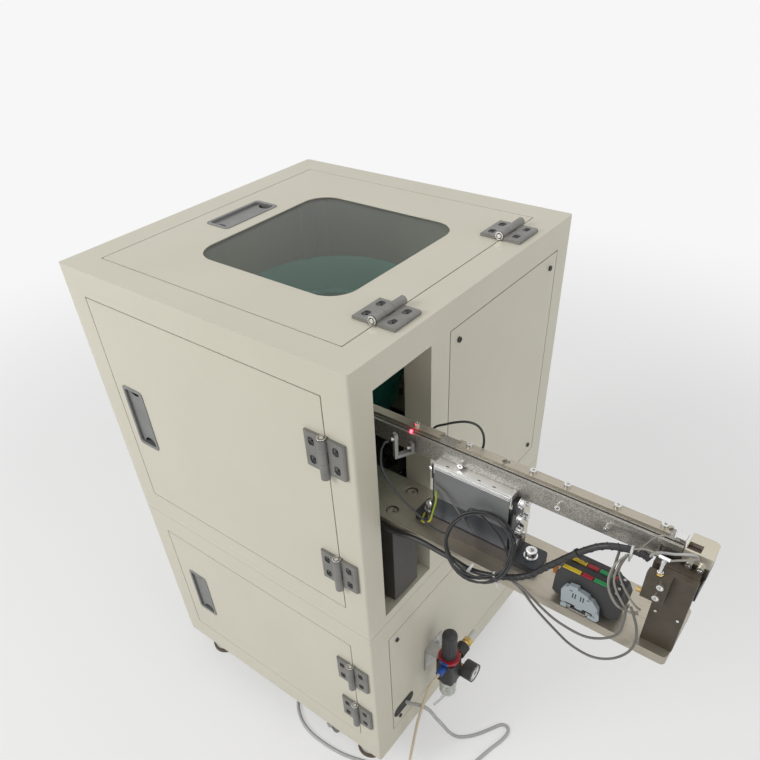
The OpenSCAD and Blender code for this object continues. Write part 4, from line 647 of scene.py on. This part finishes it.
terminalRow = {
    "near": -232.5, "clampThick": 7.0, "pitch": 9.0, "count": 4, "foot": 730, "top": 790.3,
    "railLow": 590, "railHigh": 625, "railDepth": 51, "railFlange": 7,
    "body": [(566, 743), (567, 776), (573, 788), (577, 790), (638, 790), (641, 786), (652, 780), (658, 768),
             (657, 744), (648, 738), (572, 738)],
    "clamp": [(583, 737.5), (580.5, 759), (585, 768), (589, 768), (590, 772), (602, 774), (603, 770), (617, 767),
              (619, 763), (624, 762), (632, 752), (634, 737.5), (628, 735), (626, 740), (614, 740), (612, 736),
              (604, 736), (602, 740), (590, 740), (588, 737.5)],
    "feet": ([(622, 731), (634, 731), (637, 736), (636, 744), (633, 748), (630, 746), (632, 742), (631, 737),
              (622, 736)],
             [(584, 731), (592, 731), (592, 739), (584, 737)]),
    "upright": {"x": (596.5, 600, 607.5, 611), "wide": 1.6, "low": 753, "high": 762},
    "level": {"at": ((592, 764), (616, 760)), "wide": 4, "high": 1.4},
    "screws": ((646, 783.6), (570, 783.5)), "screwRadius": 2.1,
    "labels": {"yellow": (574, 598.5), "red": (600, 614.5), "green": (616, 633.5)},
}


def addTerminalPiece(name, mesh, finish, edge=0.0):
    return finishPiece(name, mesh, finish, "cabinet", edge)


def addTerminalRow():
    row = terminalRow
    near, foot, top, pitch, flange = row["near"], row["foot"], row["top"], row["pitch"], row["railFlange"]
    start = near + row["clampThick"] + 0.4
    rail = bmesh.new()
    addBlock(rail, (row["railLow"], near, foot), (row["railHigh"], near + row["railDepth"], foot + 1.5))
    for x in (row["railLow"], row["railHigh"] - flange):
        addBlock(rail, (x, near, foot), (x + flange, near + row["railDepth"], foot + 7.5))
    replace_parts(addTerminalPiece("mountingRail", rail, "zincPlate", 0.2), "terminal_row")
    bodies = bmesh.new()
    for index in range(row["count"]):
        addProfile(bodies, row["body"], start + index * pitch, start + (index + 1) * pitch - 0.3)
    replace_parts(addTerminalPiece("terminalBodies", bodies, "blackPlastic", 0.4), "terminal_row")
    clamp = bmesh.new()
    addProfile(clamp, row["clamp"], near, near + row["clampThick"])
    addTerminalPiece("endClamp", clamp, "clampBlue", 0.4)
    # the clamp's slots: thin black blocks as painted shade in the recesses
    slots = bmesh.new()
    upright, level = row["upright"], row["level"]
    for x in upright["x"]:
        addBlock(slots, (x, near - 0.15, upright["low"]), (x + upright["wide"], near + 0.6, upright["high"]))
    for x, z in level["at"]:
        addBlock(slots, (x, near - 0.15, z), (x + level["wide"], near + 0.6, z + level["high"]))
    addTerminalPiece("clampSlotShade", slots, "blackPlastic")
    hook = bmesh.new()
    for outline in row["feet"]:
        addProfile(hook, outline, near - 2, near)
    addTerminalPiece("clampFeet", hook, "clampBlue", 0.3)
    for colour, (low, high) in row["labels"].items():
        mesh = bmesh.new()
        for index in (0, 2):
            y = start + index * pitch
            addBlock(mesh, (low, y + 0.6, top), (high, y + pitch - 2.4, top + 1.6))
        addTerminalPiece("labels" + colour.title(), mesh, colour + "Plastic", 0.3)
    pins = bmesh.new()
    for index in range(row["count"]):
        y = start + (index + 0.5) * pitch - 0.3
        for x, z in row["screws"]:
            addRod(pins, (x, y, z - 2), (x, y, z + 0.8), row["screwRadius"], 16)
    addTerminalPiece("terminalScrews", pins, "zincPlate", 0.2)
    lever = bmesh.new()
    addBlock(lever, (559.5, start + 9, 762), (567.2, start + 17, 775))
    addTerminalPiece("terminalLever", lever, "orangePlastic", 0.8)
    mark = bmesh.new()
    addBlock(mark, (634.6, start + 18.6, top - 0.4), (639.2, start + 24, top + 1.4))
    addTerminalPiece("terminalMark", mark, "redPlastic", 0.3)


hingeScrews = {  # radius of the head and of its hexagon socket, and the leaves with the body that each rides
    "head": 4.4, "socket": 2.3, "leaves": {"frame_hinge_leaves": "cabinet", "lid_hinge_leaves": "lid",
                                           "upper_door_leaves": "upper_door", "lower_door_leaves": "lower_door"},
}


def addHingeScrews():  # socket screws sunk in the leaves, found from the holes of the frame; each hex socket is a black prism of painted shade
    made = 0
    for node, body in hingeScrews["leaves"].items():
        places = leafHoles(node)
        mesh = bmesh.new()
        # black hex prisms stand for the shade inside the sockets
        socketShade = bmesh.new()
        for place, out in places:
            addRod(mesh, place - out * 4.6, place - out * 1.7, hingeScrews["head"], 24)
            addRod(socketShade, place - out * 2.2, place - out * 1.55, hingeScrews["socket"], 6)
        made += len(places)
        finishPiece(node + "Screws", mesh, "blackSteel", body, 0.4)
        finishPiece(node + "SocketShade", socketShade, "blackPlastic", body)
    print("hinge screws set:", made)


def leafHoles(node):  # centres of the countersinks: small loops of edges on the outer faces
    mesh = nodeMesh(node)
    places = []
    for axis, value, out in ((1, -306, Vector((0, -1, 0))), (2, 1026, Vector((0, 0, 1)))):
        rims = {line for line in mesh.edges if onPlane(line, axis, value) and line.calc_length() < 0.004
                and line.is_manifold and line.calc_face_angle() > math.radians(20)}
        for loop in linkedGroups(rims, lambda line: [other for corner in line.verts for other in corner.link_edges]):
            corners = {corner for line in loop for corner in line.verts}
            if len(corners) > 10:
                places.append((sum((corner.co for corner in corners), Vector()) / len(corners) * 1000, out))
    mesh.free()
    return places


hingeRings = {"washer": (0.02, 0.75, 6.7), "gap": (0.5, 0.85, 4.9), "tip": (0.6, 1.1, 3.4)}  # two ends, radius


def addHingeRings():  # a bright washer on the outer end of each pin, with a dark ring of painted shade round the pin's tip for the gap
    bright = bmesh.new()
    dark = bmesh.new()
    for x, y, z, along in pinEnds():
        end = Vector((x, y, z))
        for ring, mesh in (("washer", bright), ("gap", dark), ("tip", bright)):
            low, high, radius = hingeRings[ring]
            addRod(mesh, end + along * low, end + along * high, radius, 32)
    washers = finishPiece("pinWashers", bright, "brightSteel", "cabinet", 0.2)
    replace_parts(washers, "hinge_pins")
    # painted shade: a black ring standing in for the gap round each pin's tip
    finishPiece("washerGapShade", dark, "blackSteel", "cabinet")


def pinEnds():  # the outer end of each pin, with its direction, from the frame's mesh
    mesh = nodeMesh("hinge_pins")
    ends = []
    for island in linkedGroups(mesh.verts, lambda corner: [line.other_vert(corner) for line in corner.link_edges]):
        low = [min(corner.co[axis] for corner in island) * 1000 for axis in range(3)]
        high = [max(corner.co[axis] for corner in island) * 1000 for axis in range(3)]
        if high[2] - low[2] > high[1] - low[1]:  # a door's pin stands up, the lid's lies along Y
            ends.append(((low[0] + high[0]) / 2, (low[1] + high[1]) / 2, high[2], Vector((0, 0, 1))))
        else:
            ends.append(((low[0] + high[0]) / 2, low[1], (low[2] + high[2]) / 2, Vector((0, -1, 0))))
    mesh.free()
    return ends


sensorGlow = {"foot": (313, -191.6, 872.5), "tip": (313, -190.2, 877), "radius": 2.0, "light": (1.0, 0.03, 0.05, 1)}


def addSensorGlow():  # the light barrier's lit lens
    mesh = bmesh.new()
    addRod(mesh, sensorGlow["foot"], sensorGlow["tip"], sensorGlow["radius"], 16)
    piece = finishPiece("barrierLens", mesh, "redPlastic", "track")
    material, _, shader = newMaterial("litLens")
    shader.inputs["Base Color"].default_value = (0.6, 0.02, 0.02, 1)
    shader.inputs["Roughness"].default_value = 0.3
    shader.inputs["Emission Color"].default_value = sensorGlow["light"]
    shader.inputs["Emission Strength"].default_value = 14
    piece.data.materials[0] = material


driveTrim = {
    "low": 366, "high": 484, "face": -210.6, "ribs": (850.6, 848.2, 845.8), "slots": (382, 432, 455),
    "skirt": (794, 803), "boltRadius": 5.2, "washerRadius": 6.4,
    "bolts": ((498.6, -203.5, 846), (500.8, -190, 838), (498.6, -203.5, 818), (500.8, -190, 812), (498.6, -203.5, 796)),
}


def addDriveTrim():  # ribs, slots and skirt of the drive's cover, and the bolts of its springs; the slots are black strips of painted shade
    low, high, face, slot = driveTrim["low"], driveTrim["high"], driveTrim["face"], slotOfNode["drive_top_block"]
    ribs = bmesh.new()
    for z in driveTrim["ribs"]:
        addBlock(ribs, (low, face - 0.5, z), (high, face + 0.3, z + 1.1))
    finishPiece("coverRibs", ribs, "aluminium", "track", 0.2)
    # the slots: thin black blocks, painted shade in place of openings
    slots = bmesh.new()
    for x in driveTrim["slots"]:
        addBlock(slots, (x, -206.2, 853.4), (x + 4.5, -204.4, 854.15))
    finishPiece("coverSlotShade", slots, "blackPlastic", "track")
    skirt = bmesh.new()
    foot, top = driveTrim["skirt"]
    addBlock(skirt, (low, face + 0.1, foot), (high, face + 1.4, top))
    finishPiece("coverSkirt", skirt, "greyPaint", "track", 0.3)
    bolts = bmesh.new()
    for x, y, z in driveTrim["bolts"]:
        addRod(bolts, (x - 1.5, y, z), (x + 3.5, y, z), driveTrim["boltRadius"], 24)
        addRod(bolts, (x - 3, y, z), (x - 1.4, y, z), driveTrim["washerRadius"], 24)
    finishPiece("springBolts", bolts, "brightSteel", "cabinet", 0.4)


openingLining = {"inner": 252, "outer": 276, "thick": 1.5, "y": (-255, -122), "z": (512, 974)}


def addOpeningLining():  # the deep folded edge round the opening that the track leaves through
    mesh = bmesh.new()
    inner, outer, thick = openingLining["inner"], openingLining["outer"], openingLining["thick"]
    (left, right), (foot, top) = openingLining["y"], openingLining["z"]
    addBlock(mesh, (inner, right, foot), (outer, right + thick, top))
    addBlock(mesh, (inner, left - thick, foot), (outer, left, top))
    addBlock(mesh, (inner, left, top), (outer, right, top + thick))
    finishPiece("openingLining", mesh, "ivoryPaint", "cabinet")


fittings = {"elbow": (687, -227.5, 871.8), "gland": ((326, -167.5, 857.5), (331.5, -161.5, 868.5)),
            "postScrews": ((695, 788), (722, 788)), "postFace": -223.1}


def addFittings():  # air elbow on the cylinder, gland of the far sensor, screws of the end post
    x, y, z = fittings["elbow"]
    metal = bmesh.new()
    addRod(metal, (x, y, z), (x, y, z + 4), 3.0, 24)
    addRod(metal, (x - 7, y + 1.4, z + 7.5), (x + 6.5, y - 0.4, z + 8.5), 2.2, 24)
    addRod(metal, (x, y, z + 3), (x, y, z + 8.5), 2.2, 24)
    finishPiece("airElbow", metal, "brightSteel", "cabinet", 0.3)
    start, end = (Vector(place) for place in fittings["gland"])
    along = (end - start).normalized()
    gland = bmesh.new()
    addRod(gland, start - along * 2, start + along * 4, 5.0, 6)
    addRod(gland, start + along * 3, end, 3.2, 20)
    finishPiece("barrierGland", gland, "zincPlate", "track", 0.3)
    heads = bmesh.new()
    face = fittings["postFace"]
    for x, z in fittings["postScrews"]:
        addRod(heads, (x, face, z), (x, face + 0.9, z), 2.0, 20, 1.6)
    finishPiece("postScrews", heads, "brightSteel", "cabinet", 0.15)


looseCords = {  # thin leads seen beside the main runs: diameter, finish, points
    "bundleTail": (8, "cableBlack", [
        (488, -248, 738.5), (470, -249.5, 733), (446, -247, 726), (421, -243, 724.5), (394, -242, 725),
        (368, -242, 727), (342, -241.5, 724), (322, -240.5, 717), (300, -240, 716), (280, -238, 719),
        (262, -232, 722)]),
    "terminalLeadOne": (2.6, "thinLead", [
        (644.9, -214, 849), (636.6, -226, 837), (635, -234, 818.7), (641, -237, 801), (653.7, -238, 785),
        (667, -238, 782), (679.4, -237, 789)]),
    "terminalLeadTwo": (2.6, "thinLead", [
        (645, -213, 848), (641.6, -222, 828), (649.6, -227, 814), (661, -229, 800), (672, -231, 791),
        (680.7, -232, 788)]),
    "terminalLeadThree": (2.6, "thinLead", [
        (643, -214, 847), (640, -224, 832), (641, -231, 817), (648, -234, 803), (658, -235, 790), (668, -235, 779),
        (680, -234.5, 782)]),
    "elbowTube": (2.6, "thinLead", [(648, -211, 857), (657.8, -216, 868), (668, -221, 876), (680, -226, 879.5)]),
    "headTube": (2.6, "thinLead", [
        (693, -228, 880.5), (700, -225, 883), (710, -217, 882.5), (716.5, -208, 880), (717.5, -202, 874)]),
    "frameTube": (1.6, "thinLead", [
        (654, -210, 856), (660, -206, 870), (668, -203, 884), (680, -201, 889), (692, -200, 888)]),
    "coverLeadOne": (2.6, "cableDark", [
        (368, -213.5, 822), (385, -214, 815), (404, -216, 800), (424, -222, 788), (440, -228, 779)]),
    "coverLeadTwo": (2.8, "cableBlack", [
        (430, -226, 794), (428, -219, 806), (436, -217, 811), (450, -218, 806), (468, -220, 796), (484, -222, 784),
        (496, -226, 768), (501, -232, 752)]),
}


def addLooseCords():
    for name, (diameter, finish, points) in looseCords.items():
        layCord(name, smoothPath(points, 5), diameter, finish, "cable_black",
                diameter=diameter / 1000, far_end="object", stiffness="limp", lay="hanging")


addGaugeDial()
addBundleWrap()
addTies()
addTerminalRow()
addHingeScrews()
addHingeRings()
addSensorGlow()
addDriveTrim()
addOpeningLining()
addFittings()
addLooseCords()
print("small pieces made")


# floor, backdrop and light
stageLook = {"floor": (0.86, 0.86, 0.855), "size": 12.0, "pale": 0.93, "near": 1.0, "far": 3.0, "least": 0.45,
             "worldLight": 0.4, "aim": (0.1, -0.1, 0.6)}


def largerOf(tree, first, second):
    return addNode(tree, "ShaderNodeMath", links={0: first, 1: second}, operation="MAXIMUM").outputs[0]


def seenDirectly(tree):  # what the camera, and mirrors and glass, see of the backdrop
    path = addNode(tree, "ShaderNodeLightPath").outputs
    return largerOf(tree, largerOf(tree, path["Is Camera Ray"], path["Is Glossy Ray"]), path["Is Transmission Ray"])


def addStage():
    mesh = bmesh.new()
    bmesh.ops.create_grid(mesh, x_segments=1, y_segments=1, size=stageLook["size"])
    data = bpy.data.meshes.new("floor")
    mesh.to_mesh(data)
    mesh.free()
    material, tree, shader = newMaterial("paleFloor")
    shader.inputs["Base Color"].default_value = (*stageLook["floor"], 1)
    shader.inputs["Roughness"].default_value = 0.7
    place = addNode(tree, "ShaderNodeTexCoord")
    away = addNode(tree, "ShaderNodeVectorMath", links={0: place.outputs["Object"]}, operation="LENGTH")
    fade = addNode(tree, "ShaderNodeMapRange",
                   {"From Min": stageLook["near"], "From Max": stageLook["far"], "To Min": stageLook["least"]},
                   {"Value": away.outputs["Value"]}, interpolation_type="SMOOTHSTEP")
    share = addNode(tree, "ShaderNodeMath", links={0: fade.outputs["Result"], 1: seenDirectly(tree)},
                    operation="MULTIPLY")
    glow = addNode(tree, "ShaderNodeEmission", {"Color": (*[stageLook["pale"]] * 3, 1), "Strength": 1.0})
    mix = addNode(tree, "ShaderNodeMixShader", links={0: share.outputs[0], 1: shader.outputs[0], 2: glow.outputs[0]})
    tree.links.new(mix.outputs[0], tree.nodes["Material Output"].inputs["Surface"])
    data.materials.append(material)
    floor = bpy.data.objects.new("floor", data)
    bpy.context.scene.collection.objects.link(floor)


lamps = {  # place, size, power in watts
    "key": ((-1.5, -3.0, 2.6), 1.6, 66),
    "side": ((3.2, -0.4, 2.0), 1.8, 20),
    "top": ((0.4, 0.6, 3.4), 2.0, 13),
}


def addLight():
    for name, (place, size, power) in lamps.items():
        data = bpy.data.lights.new(name, "AREA")
        data.shape = "DISK"
        data.size = size
        data.energy = power
        lamp = bpy.data.objects.new(name, data)
        lamp.location = place
        lamp.rotation_euler = (Vector(stageLook["aim"]) - Vector(place)).to_track_quat("-Z", "Y").to_euler()
        bpy.context.scene.collection.objects.link(lamp)
    world = bpy.data.worlds.new("studio")
    bpy.context.scene.world = world
    world.use_nodes = True
    tree = world.node_tree
    tree.nodes["Background"].inputs["Color"].default_value = (1, 1, 1, 1)
    strength = addNode(tree, "ShaderNodeMapRange", {"To Min": stageLook["worldLight"], "To Max": stageLook["pale"]},
                       {"Value": seenDirectly(tree)})
    tree.links.new(strength.outputs["Result"], tree.nodes["Background"].inputs["Strength"])


addStage()
addLight()
bpy.context.scene.view_settings.view_transform = "Standard"
print("stage lit")
